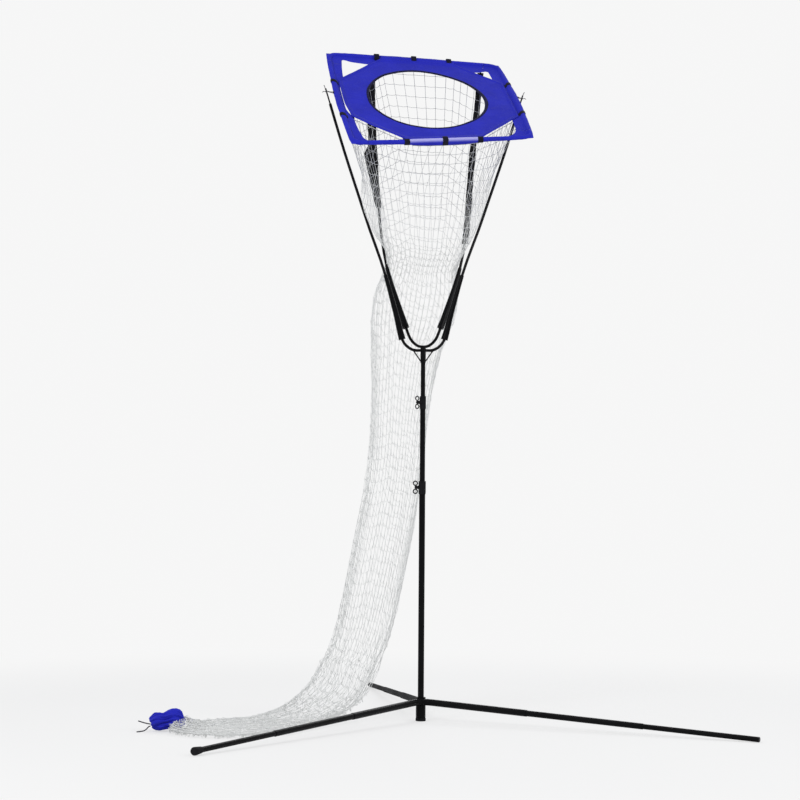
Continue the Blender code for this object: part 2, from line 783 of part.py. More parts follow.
def build_strap(side, number, share):
    """A webbing strap round the outside of the sleeve, lapped under the panel's edge."""
    steps = 11
    inner = (SLEEVE_RADIUS + GAP) / math.cos(math.pi / (steps + 1))
    outer = inner + STRAP_THICKNESS
    start = math.radians(STRAP_START)
    slot = PANEL_THICKNESS / 2 + 2 * GAP
    lap = SLEEVE_RADIUS + PANEL_EDGE_GAP + STRAP_LAP
    lip = slot + STRAP_THICKNESS
    mouth = math.asin(slot / inner)
    shoulder = math.asin(lip / outer)
    outline = []
    for step in range(steps + 1):
        turn = start + (math.tau - mouth - start) * step / steps
        outline.append((inner * math.cos(turn), inner * math.sin(turn)))
    outline += [(lap, -slot), (lap, -lip)]
    for step in range(steps + 1):
        turn = math.tau - shoulder - (math.tau - shoulder - start) * step / steps
        outline.append((outer * math.cos(turn), outer * math.sin(turn)))
    name = f"strap_{side}_{number}"
    curve = bpy.data.curves.new(name, "CURVE")
    curve.dimensions = "2D"
    curve.fill_mode = "BOTH"
    curve.extrude = STRAP_WIDTH / 2
    spline = curve.splines.new("POLY")
    spline.points.add(len(outline) - 1)
    for point, (x, y) in zip(spline.points, outline):
        point.co = (x, y, 0.0, 1.0)
    spline.use_cyclic_u = True
    item = bpy.data.objects.new(name, curve)
    PARTS.objects.link(item)
    at = side_point(side, share)
    along = (side_point(side, share + 0.01) - at).normalized()
    inwards = side_point(side, share, inset=0.05) - at
    inwards = (inwards - along * inwards.dot(along)).normalized()
    up = along.cross(inwards)
    item.matrix_world = Matrix(
        (
            (inwards.x, up.x, along.x, at.x),
            (inwards.y, up.y, along.y, at.y),
            (inwards.z, up.z, along.z, at.z),
            (0.0, 0.0, 0.0, 1.0),
        )
    )
    return finish_object(settled(item), BLACK_WEBBING, smooth=False)


# Fork head, arms and rods


def side_path(side):
    """From the mast top out through the link and the arm and up the rod beside the frame."""
    sign = -1 if side == "left" else 1
    low = (
        (0.000, 1.408),
        (0.035, 1.408),
        (0.062, 1.423),
        (0.079, 1.446),
        (0.090, 1.486),
        (0.103, 1.540),
        (0.120, 1.602),
        (0.142, 1.680),
        (0.168, 1.760),
        (0.212, 1.880),
        (0.245, 1.979),
        (0.308, 2.169),
        (0.368, 2.365),
        (0.378, 2.398),
    )
    points = []
    for reach, height in low:
        lean = SIDE_ROD_LEAN[side] * max(0.0, height - 1.70) / 0.70
        points.append((sign * reach, lean, height))
    return Path(points)


def rear_path(side):
    """From the mast top up to the back of the rear sleeve."""
    sign = -1 if side == "left" else 1
    low = (
        (0.000, 0.000, 1.421),
        (0.022, 0.018, 1.426),
        (0.048, 0.040, 1.452),
        (0.067, 0.056, 1.499),
        (0.088, 0.074, 1.560),
        (0.107, 0.084, 1.617),
        (0.125, 0.100, 1.674),
        (0.145, 0.122, 1.750),
        (0.166, 0.152, 1.880),
    )
    points = [Vector((sign * x, y, z)) for x, y, z in low]
    place = REAR_ROD_PLACES[side]
    axis_point = side_point("rear", 1 - place)
    behind = REAR_TIP_BEHIND[side]
    tip = axis_point + BACKWARDS * behind + Vector((0.0, 0.0, 0.008))
    below = tip - Vector((0.0, 0.0, 0.045)) - BACKWARDS * 0.0015
    middle = points[-1].lerp(below, 0.45)
    points.append(middle - Vector((REAR_ROD_BOWS[side], 0.0, 0.0)))
    points.append(below)
    points.append(tip)
    return Path(points)


SIDE_PATHS = {side: side_path(side) for side in ("left", "right")}
REAR_PATHS = {side: rear_path(side) for side in ("left", "right")}


def build_fork_head():
    """The welded head: a socket on the mast, four links and two side braces."""
    slim = MAST_RADII[2] + GAP
    outer = slim + SOCKET_WALL
    top = MAST_TOP + GAP + SOCKET_CAP
    profile = [
        (0.0, top),
        (outer, top),
        (outer, SOCKET_BOTTOM),
        (slim, SOCKET_BOTTOM),
        (slim, MAST_TOP + GAP),
        (0.0, MAST_TOP + GAP),
    ]
    body = turned("fork_head", profile)
    for side in ("left", "right"):
        reach = SIDE_LINK_LENGTH + ARM_FOOT_PLUG
        run = SIDE_PATHS[side].stretch(0.0, reach, 0.013)
        run[0] = Vector((run[1].x * 0.5, 0.0, run[1].z))
        start = SIDE_PATHS[side].at(outer + 0.0005 - 0.0025)
        run = [start] + [point for point in run if abs(point.x) > outer + 0.003]
        combine(body, wire(f"side_link_{side}", run, LINK_RADIUS), "UNION")
        sign = -1 if side == "left" else 1
        brace = [(sign * 0.037, 0.0, 1.4065), (sign * (outer - 0.0012), 0.0, 1.366)]
        combine(body, wire(f"brace_{side}", brace, BRACE_RADIUS, resolution=2), "UNION")
    reach = REAR_LINK_LENGTH + ARM_FOOT_PLUG
    left = REAR_PATHS["left"].stretch(0.0, reach, 0.014)
    right = REAR_PATHS["right"].stretch(0.0, reach, 0.014)
    yoke = list(reversed(left)) + right[1:]
    combine(body, wire("rear_yoke", yoke, LINK_RADIUS), "UNION")
    bore = bar("head_bore", slim, SOCKET_BOTTOM - 0.01, MAST_TOP + GAP)
    combine(body, bore, "DIFFERENCE")
    return finish_object(body, BLACK_PAINT)


def build_arm(name, path, start):
    """A tapered arm that takes the link's end at its foot and the rod at its top."""
    end = start + ARM_LENGTH
    run = path.stretch(start, end, 0.028)
    count = len(run) - 1
    radii = []
    for index in range(count + 1):
        share = index / count
        radii.append(ARM_FOOT_RADIUS + (ARM_TOP_RADIUS - ARM_FOOT_RADIUS) * share**0.8)
    body = wire(name, run, radii, resolution=4)
    foot = path.stretch(start - 0.012, start + ARM_FOOT_PLUG + GAP, 0.010)
    combine(body, wire(f"{name}_foot_bore", foot, LINK_RADIUS + 2 * GAP), "DIFFERENCE")
    floor, mouth = path.at(end - ROD_PLUG), path.at(end)
    way = (mouth - floor).normalized()
    line = [floor - way * GAP, mouth + way * 0.012]
    combine(body, wire(f"{name}_rod_bore", line, ROD_RADIUS + 2 * GAP), "DIFFERENCE")
    return finish_object(body, BLACK_PLASTIC)


def rod_radii(run, path, start):
    """Full size along the rod, and slimmer over its tip."""
    radii = []
    travelled = start
    for index, point in enumerate(run):
        if index:
            travelled += (point - run[index - 1]).length
        radii.append(ROD_TIP_RADIUS if path.length - travelled < ROD_TIP_LENGTH else ROD_RADIUS)
    return radii


def build_rod(name, path, arm_start):
    mouth = arm_start + ARM_LENGTH
    start = mouth - ROD_PLUG
    shoulder = path.length - ROD_TIP_LENGTH
    run = [path.at(start)] + path.stretch(mouth, shoulder - 0.001, 0.060)
    run += path.stretch(shoulder + 0.001, path.length, 0.020)
    item = wire(name, run, rod_radii(run, path, start))
    return finish_object(item, ROD_FINISH)


def build_pole_sleeve(side):
    """The webbing pocket round the upper part of a rear rod."""
    path = REAR_PATHS[side]
    end = path.length - ROD_TIP_LENGTH - POLE_SLEEVE_DROP
    start = end - POLE_SLEEVE_LENGTHS[side]
    name = f"pole_sleeve_{side}"
    narrow, wide = POLE_SLEEVE_HALF_WIDTHS[side]
    rings = []
    count = round((end - start) / 0.060)
    for number in range(count + 1):
        distance = (end - start) * number / count
        half = narrow + (wide - narrow) * min(1.0, distance / POLE_SLEEVE_FLARE)
        middle = path.at(start + distance) - ACROSS * (half - narrow)
        ring = []
        for step in range(16):
            turn = math.tau * step / 16
            across = ACROSS * half * math.cos(turn)
            deep = BACKWARDS * POLE_SLEEVE_HALF_THICKNESS * math.sin(turn)
            ring.append(middle + across + deep)
        rings.append(ring)
    body = lofted(name, rings)
    bore = path.stretch(start - 0.040, end + 0.030, 0.060)
    combine(body, wire(f"{name}_bore", bore, ROD_RADIUS + 2 * GAP), "DIFFERENCE")
    return finish_object(body, BLACK_WEBBING)


def build_side_tie(side):
    """The short cord that holds a side rod's tip to the middle of the frame's side."""
    path = SIDE_PATHS[side]
    at = path.length - TIE_DROP
    tip, middle = path.at(at), side_point(side, 0.5)
    reach = middle - tip
    up_rod, along = path.heading(at), (side_point(side, 0.6) - middle).normalized()
    off_rod = (reach - up_rod * reach.dot(up_rod)).normalized()
    off_sleeve = (along * reach.dot(along) - reach).normalized()
    start = tip + off_rod * (ROD_TIP_RADIUS + GAP)
    end = middle + off_sleeve * (SLEEVE_RADIUS + GAP)
    run = [start, start + off_rod * 0.003, end + off_sleeve * 0.003, end]
    item = wire(f"side_tie_{side}", run, TIE_RADIUS, resolution=2)
    return finish_object(item, DARK_CORD)


# Net


def net_wall(name, grid):
    """A net wall over a grid of points: square gaps between flat strands."""
    mesh = bpy.data.meshes.new(name)
    bm = bmesh.new()
    rows = [[bm.verts.new(point) for point in row] for row in grid]
    for low, high in zip(rows, rows[1:]):
        for index in range(len(low) - 1):
            bm.faces.new((low[index], low[index + 1], high[index + 1], high[index]))
    bm.normal_update()
    inset = bmesh.ops.inset_individual(bm, faces=bm.faces[:], thickness=STRAND_WIDTH / 2)
    rims = set(inset["faces"])
    gaps = [face for face in bm.faces if face not in rims]
    bmesh.ops.delete(bm, geom=gaps, context="FACES")
    bm.to_mesh(mesh)
    bm.free()
    item = mesh_object(name, mesh)
    solid = item.modifiers.new("Thickness", "SOLIDIFY")
    solid.thickness = STRAND_THICKNESS
    solid.offset = 0.0
    solid.use_even_offset = False
    return finish_object(settled(item), WHITE_NET, smooth=False)


def section_corners(sections):
    """The four corner runs down the net, from top to bottom."""
    runs = []
    for corner in range(4):
        points = [(*section[1 + corner], section[0]) for section in sections]
        runs.append([Vector(point) for point in points])
    return runs


def wall_grid(first, second, cells):
    """Points of a wall between two corner paths, kept clear of its neighbours' edges."""
    across, down = cells
    grid = []
    for row in range(down + 1):
        share = row / down
        a = first.at(first.length * share)
        b = second.at(second.length * share)
        way = (b - a).normalized()
        a, b = a + way * SEAM_GAP, b - way * SEAM_GAP
        grid.append([a.lerp(b, column / across) for column in range(across + 1)])
    return grid


def top_corners():
    """Where the net hangs below the four corners of the frame."""
    order = (0, 1, 2, 3)
    return [frame_corner(index, inset=NET_INSET, lift=-NET_HANG) for index in order]


def build_net():
    funnel = section_corners(FUNNEL_SECTIONS)
    tops = top_corners()
    paths = [Path([top, *run]) for top, run in zip(tops, funnel)]
    for index, side in enumerate(SIDES):
        grid = wall_grid(paths[index], paths[(index + 1) % 4], FUNNEL_CELLS)
        net_wall(f"funnel_net_{side}", grid)
    paths = [Path(run) for run in section_corners(CHUTE_SECTIONS)]
    for index, side in enumerate(SIDES):
        grid = wall_grid(paths[index], paths[(index + 1) % 4], CHUTE_CELLS)
        net_wall(f"chute_net_{side}", grid)


def folded_rings(stations, folds, depth, sides, level_start=False):
    """Rings round a bent centre line, rippled into folds and laid flat on the floor."""
    middles = [Vector(station[0]) for station in stations]
    rings = []
    for index, (middle, tall, wide) in enumerate(stations):
        before = middles[max(index - 1, 0)]
        after = middles[min(index + 1, len(middles) - 1)]
        way = (after - before).normalized()
        across = Vector((-way.y, way.x, 0.0)).normalized()
        up = across.cross(way)
        if index == 0 and level_start:
            up.z = 0.0
        up.normalize()
        ring = []
        for step in range(sides):
            turn = math.tau * step / sides
            ripple = 1.0 + depth * math.cos(folds * turn + 0.7 * index)
            point = Vector(middle) + up * tall * ripple * math.sin(turn)
            point += across * wide * ripple * math.cos(turn)
            point.z = max(point.z, FLOOR_SKIN)
            ring.append(point)
        rings.append(ring)
    return rings


def build_chute_foot():
    folds, depth = FOOT_FOLDS, FOOT_FOLD_DEPTH
    rings = folded_rings(CHUTE_FOOT_STATIONS, folds, depth, 36, level_start=True)
    return finish_object(lofted("chute_foot_net", rings), WHITE_NET)


def build_end_sleeve():
    rings = folded_rings(END_SLEEVE_STATIONS, END_SLEEVE_PLEATS, PLEAT_DEPTH, 44)
    return finish_object(lofted("end_sleeve", rings), BLUE_FABRIC)


def build_drawstring(end, points):
    run = Path(points)
    steps = run.stretch(0.0, run.length, 0.006)
    item = wire(f"drawstring_{end}", steps, DRAWSTRING_RADIUS, resolution=2)
    return finish_object(item, DARK_CORD)


def build_all():
    build_base_hub()
    build_post_foot()
    for side in LEG_AZIMUTHS:
        build_leg(side)
    build_foot_cap()
    lower_top = LOWER_COLLAR_Z + COLLAR_SEAT - GAP
    middle_top = UPPER_COLLAR_Z + COLLAR_SEAT - GAP
    lower_bottom = POST_BOTTOM + POST_FOOT_SPIGOT + GAP
    build_mast_tube("lower_mast_tube", 0, lower_bottom, lower_top)
    build_mast_tube("middle_mast_tube", 1, middle_top - MIDDLE_TUBE_LENGTH, middle_top)
    build_mast_tube("upper_mast_tube", 2, MAST_TOP - UPPER_TUBE_LENGTH, MAST_TOP)
    build_collar("lower_clamp_collar", 0, LOWER_COLLAR_Z, LOWER_BOLT_AZIMUTH)
    build_collar("upper_clamp_collar", 1, UPPER_COLLAR_Z, UPPER_BOLT_AZIMUTH)
    build_wing_bolt("lower_wing_bolt", 0, LOWER_COLLAR_Z, LOWER_BOLT_AZIMUTH)
    build_wing_bolt("upper_wing_bolt", 1, UPPER_COLLAR_Z, UPPER_BOLT_AZIMUTH)
    build_fork_head()
    for side in ("left", "right"):
        build_arm(f"side_arm_{side}", SIDE_PATHS[side], SIDE_LINK_LENGTH)
        build_arm(f"rear_arm_{side}", REAR_PATHS[side], REAR_LINK_LENGTH)
        build_rod(f"side_rod_{side}", SIDE_PATHS[side], SIDE_LINK_LENGTH)
        build_rod(f"rear_rod_{side}", REAR_PATHS[side], REAR_LINK_LENGTH)
        build_pole_sleeve(side)
        build_side_tie(side)
    for index in range(4):
        build_frame_side(index)
    build_target_panel()
    for side, places in STRAPS.items():
        for number, share in enumerate(places, start=1):
            build_strap(side, number, share)
    build_net()
    build_chute_foot()
    build_end_sleeve()
    for end, points in DRAWSTRINGS.items():
        build_drawstring(end, points)


build_all()
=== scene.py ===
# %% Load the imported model
import bisect
import math
import random

import bpy
import bmesh
import numpy as np
from mathutils import Matrix, Vector, noise


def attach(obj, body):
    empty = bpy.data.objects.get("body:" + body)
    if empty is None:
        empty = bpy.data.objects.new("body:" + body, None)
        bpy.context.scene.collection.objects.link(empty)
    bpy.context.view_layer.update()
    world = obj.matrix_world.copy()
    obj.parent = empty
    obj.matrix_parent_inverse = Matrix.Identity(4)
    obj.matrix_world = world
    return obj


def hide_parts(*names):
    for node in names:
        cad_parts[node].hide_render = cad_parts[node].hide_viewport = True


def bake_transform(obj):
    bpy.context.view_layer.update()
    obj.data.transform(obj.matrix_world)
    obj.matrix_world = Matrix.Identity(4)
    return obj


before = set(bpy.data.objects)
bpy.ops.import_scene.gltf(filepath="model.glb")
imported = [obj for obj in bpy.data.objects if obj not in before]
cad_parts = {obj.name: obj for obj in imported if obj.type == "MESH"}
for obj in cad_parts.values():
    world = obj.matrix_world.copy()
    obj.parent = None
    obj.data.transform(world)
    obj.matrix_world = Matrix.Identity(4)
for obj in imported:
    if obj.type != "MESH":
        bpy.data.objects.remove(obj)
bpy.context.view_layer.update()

# %% [markdown]
# # A volleyball practice net
#
# A player sends the ball through the round hole in the blue panel, and the net under it
# leads the ball down behind the mast to the floor. The stand is made of painted steel
# tubes, and its exact shapes come from the CAD model that was just loaded. This lesson
# adds what a solid model can't hold: paint, cloth, webbing, cord and a knotted net.

# %% [markdown]
# ## The camera
#
# A long lens from nine metres keeps the mast straight and the legs natural. The camera stands at
# about chest height and looks a little upwards, so the tilted panel shows its upper face. Setting
# the lens and the place is the surest way to repeat a view.

# %% Camera
CAMERA_PLACE = (-0.087, -9.0, 1.001)
CAMERA_LENS = 106.38
CAMERA_RISE = 1.38
CAMERA_ROLL = 0.41

camera_data = bpy.data.cameras.new("view_camera")
camera_data.sensor_fit = "HORIZONTAL"
camera_data.sensor_width = 36.0
camera_data.lens = CAMERA_LENS
camera = bpy.data.objects.new("view_camera", camera_data)
bpy.context.scene.collection.objects.link(camera)
aim = Matrix.Rotation(math.radians(90 + CAMERA_RISE), 4, "X")
camera.matrix_world = (
    Matrix.Translation(CAMERA_PLACE) @ aim @ Matrix.Rotation(math.radians(CAMERA_ROLL), 4, "Z")
)
bpy.context.scene.camera = camera
print("camera at", CAMERA_PLACE, "lens", CAMERA_LENS)

# %% [markdown]
# ## Nodes
#
# Blender works out colours, light and relief with nodes. This lesson needs more than a
# hundred of them. Adding each by hand takes three or four lines, so a helper adds a node
# and sets its traits, and each socket takes either a value or another node's output.

# %% Nodes


def add_node(tree, kind, sockets=(), **traits):
    """A new node with its traits. Each socket is linked to another or set to a value."""
    node = tree.nodes.new(kind)
    for trait, value in traits.items():
        setattr(node, trait, value)
    for key, value in dict(sockets).items():
        put(tree, node.inputs[key], value)
    return node


def put(tree, socket, value):
    if isinstance(value, bpy.types.NodeSocket):
        tree.links.new(value, socket)
    else:
        socket.default_value = value


print("node helpers ready")

# %% [markdown]
# ## Light and background
#
# The studio is white all round. The world gives even light from every side, and one large
# soft lamp from the upper left gives the tubes a bright edge and the cloth its folds. Two
# weaker lamps fill in from the right and from behind. The camera sees a plain background
# instead of the world's light, so both can be set on their own.

# %% Studio
BACKGROUND = (0.925, 0.925, 0.925, 1.0)
SKY_COLOUR = (0.97, 0.98, 1.0, 1.0)
SKY_STRENGTH = 0.62
scene = bpy.context.scene
scene.view_settings.view_transform = "Standard"

world = bpy.data.worlds.new("studio_world")
scene.world = world
world.use_nodes = True
sky = world.node_tree
sky.nodes.clear()
rays = add_node(sky, "ShaderNodeLightPath").outputs
straight = {0: rays["Is Camera Ray"], 1: rays["Is Transmission Ray"]}
straight = add_node(sky, "ShaderNodeMath", straight, operation="MAXIMUM")
light = add_node(sky, "ShaderNodeBackground", {"Color": SKY_COLOUR, "Strength": SKY_STRENGTH})
plain = add_node(sky, "ShaderNodeBackground", {"Color": BACKGROUND})
mixed = {"Fac": straight.outputs[0], 1: light.outputs[0], 2: plain.outputs[0]}
mixed = add_node(sky, "ShaderNodeMixShader", mixed)
add_node(sky, "ShaderNodeOutputWorld", {"Surface": mixed.outputs[0]})


def soft_lamp(name, place, target, size, power):
    """A square area lamp that faces a point."""
    data = bpy.data.lights.new(name, "AREA")
    data.shape = "SQUARE"
    data.size = size
    data.energy = power
    lamp = bpy.data.objects.new(name, data)
    way = Vector(target) - Vector(place)
    lamp.matrix_world = Matrix.Translation(place) @ way.to_track_quat("-Z", "Y").to_matrix().to_4x4()
    bpy.context.scene.collection.objects.link(lamp)


soft_lamp("key_lamp", (-3.4, -4.4, 4.6), (0.0, 0.0, 1.5), 2.6, 175.0)
soft_lamp("side_lamp", (4.2, -2.2, 2.8), (0.0, 0.0, 1.4), 2.4, 70.0)
soft_lamp("back_lamp", (1.0, 4.6, 4.0), (0.0, 0.0, 1.3), 2.6, 80.0)

# %% [markdown]
# ## The floor
#
# The floor is white near the object, where it keeps a soft shadow, and blends into the
# plain background further out, so no horizon line shows.

# %% Floor
FLOOR_RADIUS = 60.0
FLOOR_DROP = 0.0006
FLOOR_COLOUR = (0.80, 0.80, 0.80, 1.0)
FLOOR_FADE = {"From Min": 1.5, "From Max": 3.4, "To Min": 0.62, "To Max": 1.0}


def studio_floor():
    """A wide round floor whose shading fades into the background away from the object."""
    mesh = bpy.data.meshes.new("studio_floor")
    bm = bmesh.new()
    bmesh.ops.create_circle(bm, cap_ends=True, segments=96, radius=FLOOR_RADIUS)
    bm.to_mesh(mesh)
    bm.free()
    floor = bpy.data.objects.new("studio_floor", mesh)
    floor.location = (0.0, 0.0, -FLOOR_DROP)
    bpy.context.scene.collection.objects.link(floor)
    material = bpy.data.materials.new("studio_floor")
    material.use_nodes = True
    tree = material.node_tree
    tree.nodes.clear()
    place = add_node(tree, "ShaderNodeTexCoord").outputs["Object"]
    far = add_node(tree, "ShaderNodeVectorMath", {0: place}, operation="LENGTH")
    fade = {"Value": far.outputs["Value"], **FLOOR_FADE}
    fade = add_node(tree, "ShaderNodeMapRange", fade, interpolation_type="SMOOTHSTEP")
    rays = add_node(tree, "ShaderNodeLightPath").outputs
    seen = {0: fade.outputs["Result"], 1: rays["Is Camera Ray"]}
    seen = add_node(tree, "ShaderNodeMath", seen, operation="MULTIPLY")
    lit = add_node(tree, "ShaderNodeBsdfDiffuse", {"Color": FLOOR_COLOUR})
    plain = add_node(tree, "ShaderNodeEmission", {"Color": BACKGROUND})
    mixed = {"Fac": seen.outputs[0], 1: lit.outputs[0], 2: plain.outputs[0]}
    mixed = add_node(tree, "ShaderNodeMixShader", mixed)
    add_node(tree, "ShaderNodeOutputMaterial", {"Surface": mixed.outputs[0]})
    mesh.materials.append(material)
    return floor


studio_floor()
print("floor ready")

# %% [markdown]
# ## Finishes
#
# Every finish is a Principled shader with a few texture nodes. Colours stay as they are
# on the object, and the nodes add what the eye looks for up close: the faint orange peel
# of powder paint, the grain of moulded plastic, threads in cloth, ribs in webbing. A
# value that is the same all over is set on the shader itself. Texture coordinates are the
# object's own metres, so one unit of scale means one metre everywhere.

# %% Helpers for finishes


class Finish:
    """A Principled material with short ways to add texture nodes."""

    def __init__(self, name, colour, roughness):
        self.material = bpy.data.materials.new(name)
        self.material.use_nodes = True
        self.tree = self.material.node_tree
        self.shader = self.tree.nodes["Principled BSDF"]
        self.set("Base Color", (*colour, 1.0))
        self.set("Roughness", roughness)
        self.place = self.add("ShaderNodeTexCoord").outputs["Object"]
        self.height = None

    def add(self, kind, sockets=(), **traits):
        return add_node(self.tree, kind, sockets, **traits)

    def set(self, socket, value):
        put(self.tree, self.shader.inputs[socket], value)

    def turn(self, rotation):
        """Coordinates in a turned frame."""
        sockets = {"Rotation": rotation, "Vector": self.place}
        return self.add("ShaderNodeMapping", sockets, vector_type="TEXTURE").outputs["Vector"]

    def grain(self, scale, detail=2.0):
        sockets = {"Scale": scale, "Detail": detail, "Vector": self.place}
        return self.add("ShaderNodeTexNoise", sockets).outputs["Fac"]

    def bands(self, scale, direction="X", where=None, bend=0.0):
        sockets = {"Scale": scale, "Distortion": bend, "Vector": where or self.place}
        return self.add("ShaderNodeTexWave", sockets, bands_direction=direction).outputs["Fac"]

    def maths(self, operation, *values):
        return self.add("ShaderNodeMath", enumerate(values), operation=operation).outputs[0]

    def along(self, way):
        """How far a place lies along a direction, in metres."""
        sockets = {0: self.place, 1: way}
        return self.add("ShaderNodeVectorMath", sockets, operation="DOT_PRODUCT").outputs["Value"]

    def between(self, value, low, high, start=0.3, end=0.7, step="LINEAR"):
        """A number from low to high as value goes from start to end."""
        sockets = {"Value": value, "From Min": start, "From Max": end, "To Min": low, "To Max": high}
        return self.add("ShaderNodeMapRange", sockets, interpolation_type=step).outputs["Result"]

    def tint(self, value, low, high, start=0.3, end=0.7):
        """A base colour that runs from low to high with value."""
        node = self.add("ShaderNodeValToRGB", {"Fac": value})
        first, last = node.color_ramp.elements
        for mark, place, colour in ((first, start, low), (last, end, high)):
            mark.position = place
            mark.color = (*colour, 1.0)
        self.set("Base Color", node.outputs["Color"])

    def roughen(self, value, low, high):
        self.set("Roughness", self.between(value, low, high))

    def bump(self, value, depth, strength=1.0):
        """Adds relief of that depth in metres on top of what is there."""
        sockets = {"Distance": depth, "Strength": strength, "Height": value}
        if self.height:
            sockets["Normal"] = self.height
        self.height = self.add("ShaderNodeBump", sockets).outputs["Normal"]
        self.set("Normal", self.height)


print("finish helpers ready")

# %% [markdown]
# ### Paint, plastic and rubber
#
# The tubes are black powder paint: glossy, a touch uneven, with fine dust that dulls it in soft
# patches. The rear leg and its stub get a grey, rougher copy of that paint. The grey is painted
# light and stands in for the different light on that leg. The clamps and bolts are moulded plastic,
# less glossy and finely grained. The rods are black fibreglass with a silky shine, and the feet are
# matt rubber.

# %% Hard finishes
GLOSS = 0.07
DULL_GLOSS = 0.02
PAINT_BLACK = (0.0028, 0.0028, 0.0032)
MAST_BLACK = (0.0028, 0.0028, 0.0034)
STUB_BEHIND = 0.022


def powder_paint(name, colour, roughness, gloss=GLOSS):
    made = Finish(name, colour, roughness)
    made.set("Specular IOR Level", gloss)
    made.tint(made.grain(9.0, 6.0), [c * 0.75 for c in colour], [c * 1.7 for c in colour])
    made.roughen(made.grain(38.0, 4.0), roughness - 0.05, roughness + 0.12)
    made.bump(made.grain(420.0, 1.0), 0.00012)
    return made.material


def moulded_plastic(name, colour, roughness, grain_scale=900.0):
    made = Finish(name, colour, roughness)
    made.set("Specular IOR Level", GLOSS)
    made.tint(made.grain(60.0, 4.0), [c * 0.8 for c in colour], [c * 1.5 for c in colour])
    made.roughen(made.grain(150.0, 3.0), roughness - 0.07, roughness + 0.10)
    made.bump(made.grain(grain_scale, 2.0), 0.00010)
    return made.material


BLACK_PAINT = powder_paint("black_powder_paint", PAINT_BLACK, 0.26)
# Painted light: a grey copy of the black paint for the rear leg, standing in for the different light
# on it.
REAR_LIT_PAINT = powder_paint("rear_lit_grey_paint", (0.024, 0.024, 0.025), 0.62, DULL_GLOSS)
MAST_PAINT = powder_paint("mast_powder_paint", MAST_BLACK, 0.24)
CLAMP_PLASTIC = moulded_plastic("clamp_plastic", (0.006, 0.006, 0.007), 0.38)
ROD_BLACK = moulded_plastic("rod_fibreglass", (0.0045, 0.0045, 0.0055), 0.30, 1400.0)
FOOT_RUBBER = moulded_plastic("foot_rubber", (0.009, 0.009, 0.010), 0.68, 500.0)
TUBE_PLASTIC = moulded_plastic("frame_tube_plastic", (0.010, 0.010, 0.012), 0.45)

HARD_FINISHES = {
    BLACK_PAINT: ("base_hub", "fork_head", "left_leg_", "right_leg_"),
    REAR_LIT_PAINT: ("rear_leg_",),
    MAST_PAINT: ("lower_mast_tube", "middle_mast_tube", "upper_mast_tube", "side_arm_", "rear_arm_"),
    CLAMP_PLASTIC: ("lower_clamp_collar", "upper_clamp_collar", "lower_wing", "upper_wing"),
    ROD_BLACK: ("side_rod_", "rear_rod_"),
    FOOT_RUBBER: ("post_foot", "left_foot_cap"),
}
for name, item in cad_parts.items():
    for material, starts in HARD_FINISHES.items():
        if name.startswith(starts):
            item.data.materials.clear()
            item.data.materials.append(material)
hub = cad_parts["base_hub"]
# The hub's rear stub gets the same grey, which is painted light.
hub.data.materials.append(REAR_LIT_PAINT)
for face in hub.data.polygons:
    if (hub.matrix_world @ face.center).y > STUB_BEHIND:
        face.material_index = 1
print("hard finishes:", ", ".join(m.name for m in HARD_FINISHES))

# %% [markdown]
# ### Cloth, webbing and twine
#
# The blue cloth is a coated polyester: a plain weave of fine threads, a little sheen and
# almost no gloss. Two sets of bands at right angles, laid in the plane of the frame, make
# the weave. Webbing has coarse ribs. Net twine is twisted, so its bands run round it.

# %% Soft finishes
FRAME_YAW = 10.2
FRAME_TILT = 35.1
IN_FRAME = (math.radians(FRAME_TILT), 0.0, math.radians(FRAME_YAW))


def woven(name, low, high, threads, depth, roughness=0.78):
    """Cloth with a plain weave, threads to the metre."""
    made = Finish(name, high, roughness)
    made.set("Sheen Weight", 0.05)
    made.set("Sheen Roughness", 0.45)
    made.set("Specular IOR Level", 0.14)
    flat = made.turn(IN_FRAME)
    per_metre = threads * math.pi / 10
    warp = made.bands(per_metre, "X", flat)
    weft = made.bands(per_metre, "Y", flat)
    upright = made.bands(per_metre, "Z", flat)
    cloth = made.maths("MAXIMUM", made.maths("MULTIPLY", warp, weft), upright)
    made.tint(made.grain(14.0, 5.0), low, high)
    made.roughen(made.grain(70.0, 3.0), roughness - 0.06, roughness + 0.10)
    made.bump(made.grain(55.0, 3.0), 0.0012, 0.35)
    made.bump(cloth, depth)
    return made


BLUES = ((0.0135, 0.0175, 0.385), (0.0175, 0.0225, 0.465))
NAVIES = ((0.003, 0.003, 0.030), (0.005, 0.005, 0.048))
WEBBING_BLACKS = ((0.004, 0.004, 0.012), (0.008, 0.008, 0.020))
POCKET_BLACKS = ((0.004, 0.004, 0.005), (0.008, 0.008, 0.009))
BLUE_CLOTH = woven("blue_cloth", *BLUES, 900.0, 0.00016).material
FRONT_FINISH = woven("front_sleeve_cloth", *BLUES, 900.0, 0.00016)
NAVY_TAPE = woven("navy_binding_tape", *NAVIES, 700.0, 0.00022).material
BLACK_WEBBING = woven("black_webbing", *WEBBING_BLACKS, 520.0, 0.00035).material
POCKET_CLOTH = woven("black_pocket_cloth", *POCKET_BLACKS, 800.0, 0.0002).material


def twine(name, low, high, fade=None):
    """Twisted cord. fade gives two heights: the tint is high at the second and beyond, and it
    darkens to low towards the first, a painted shade.
    """
    made = Finish(name, high, 0.7)
    made.set("Sheen Weight", 0.1)
    if fade:
        parts = made.add("ShaderNodeSeparateXYZ", {0: made.place})
        # Painted shade: the twine darkens with height, where the panel shades the funnel.
        lit_share = made.between(parts.outputs["Z"], 0.0, 1.0, *fade)
        patches = made.between(made.grain(60.0, 3.0), 0.8, 1.0)
        made.tint(made.maths("MULTIPLY", lit_share, patches), low, high, 0.0, 1.0)
    else:
        made.tint(made.grain(260.0, 3.0), low, high)
    made.bump(made.bands(520.0, "DIAGONAL", None, 2.0), 0.0002)
    return made.material
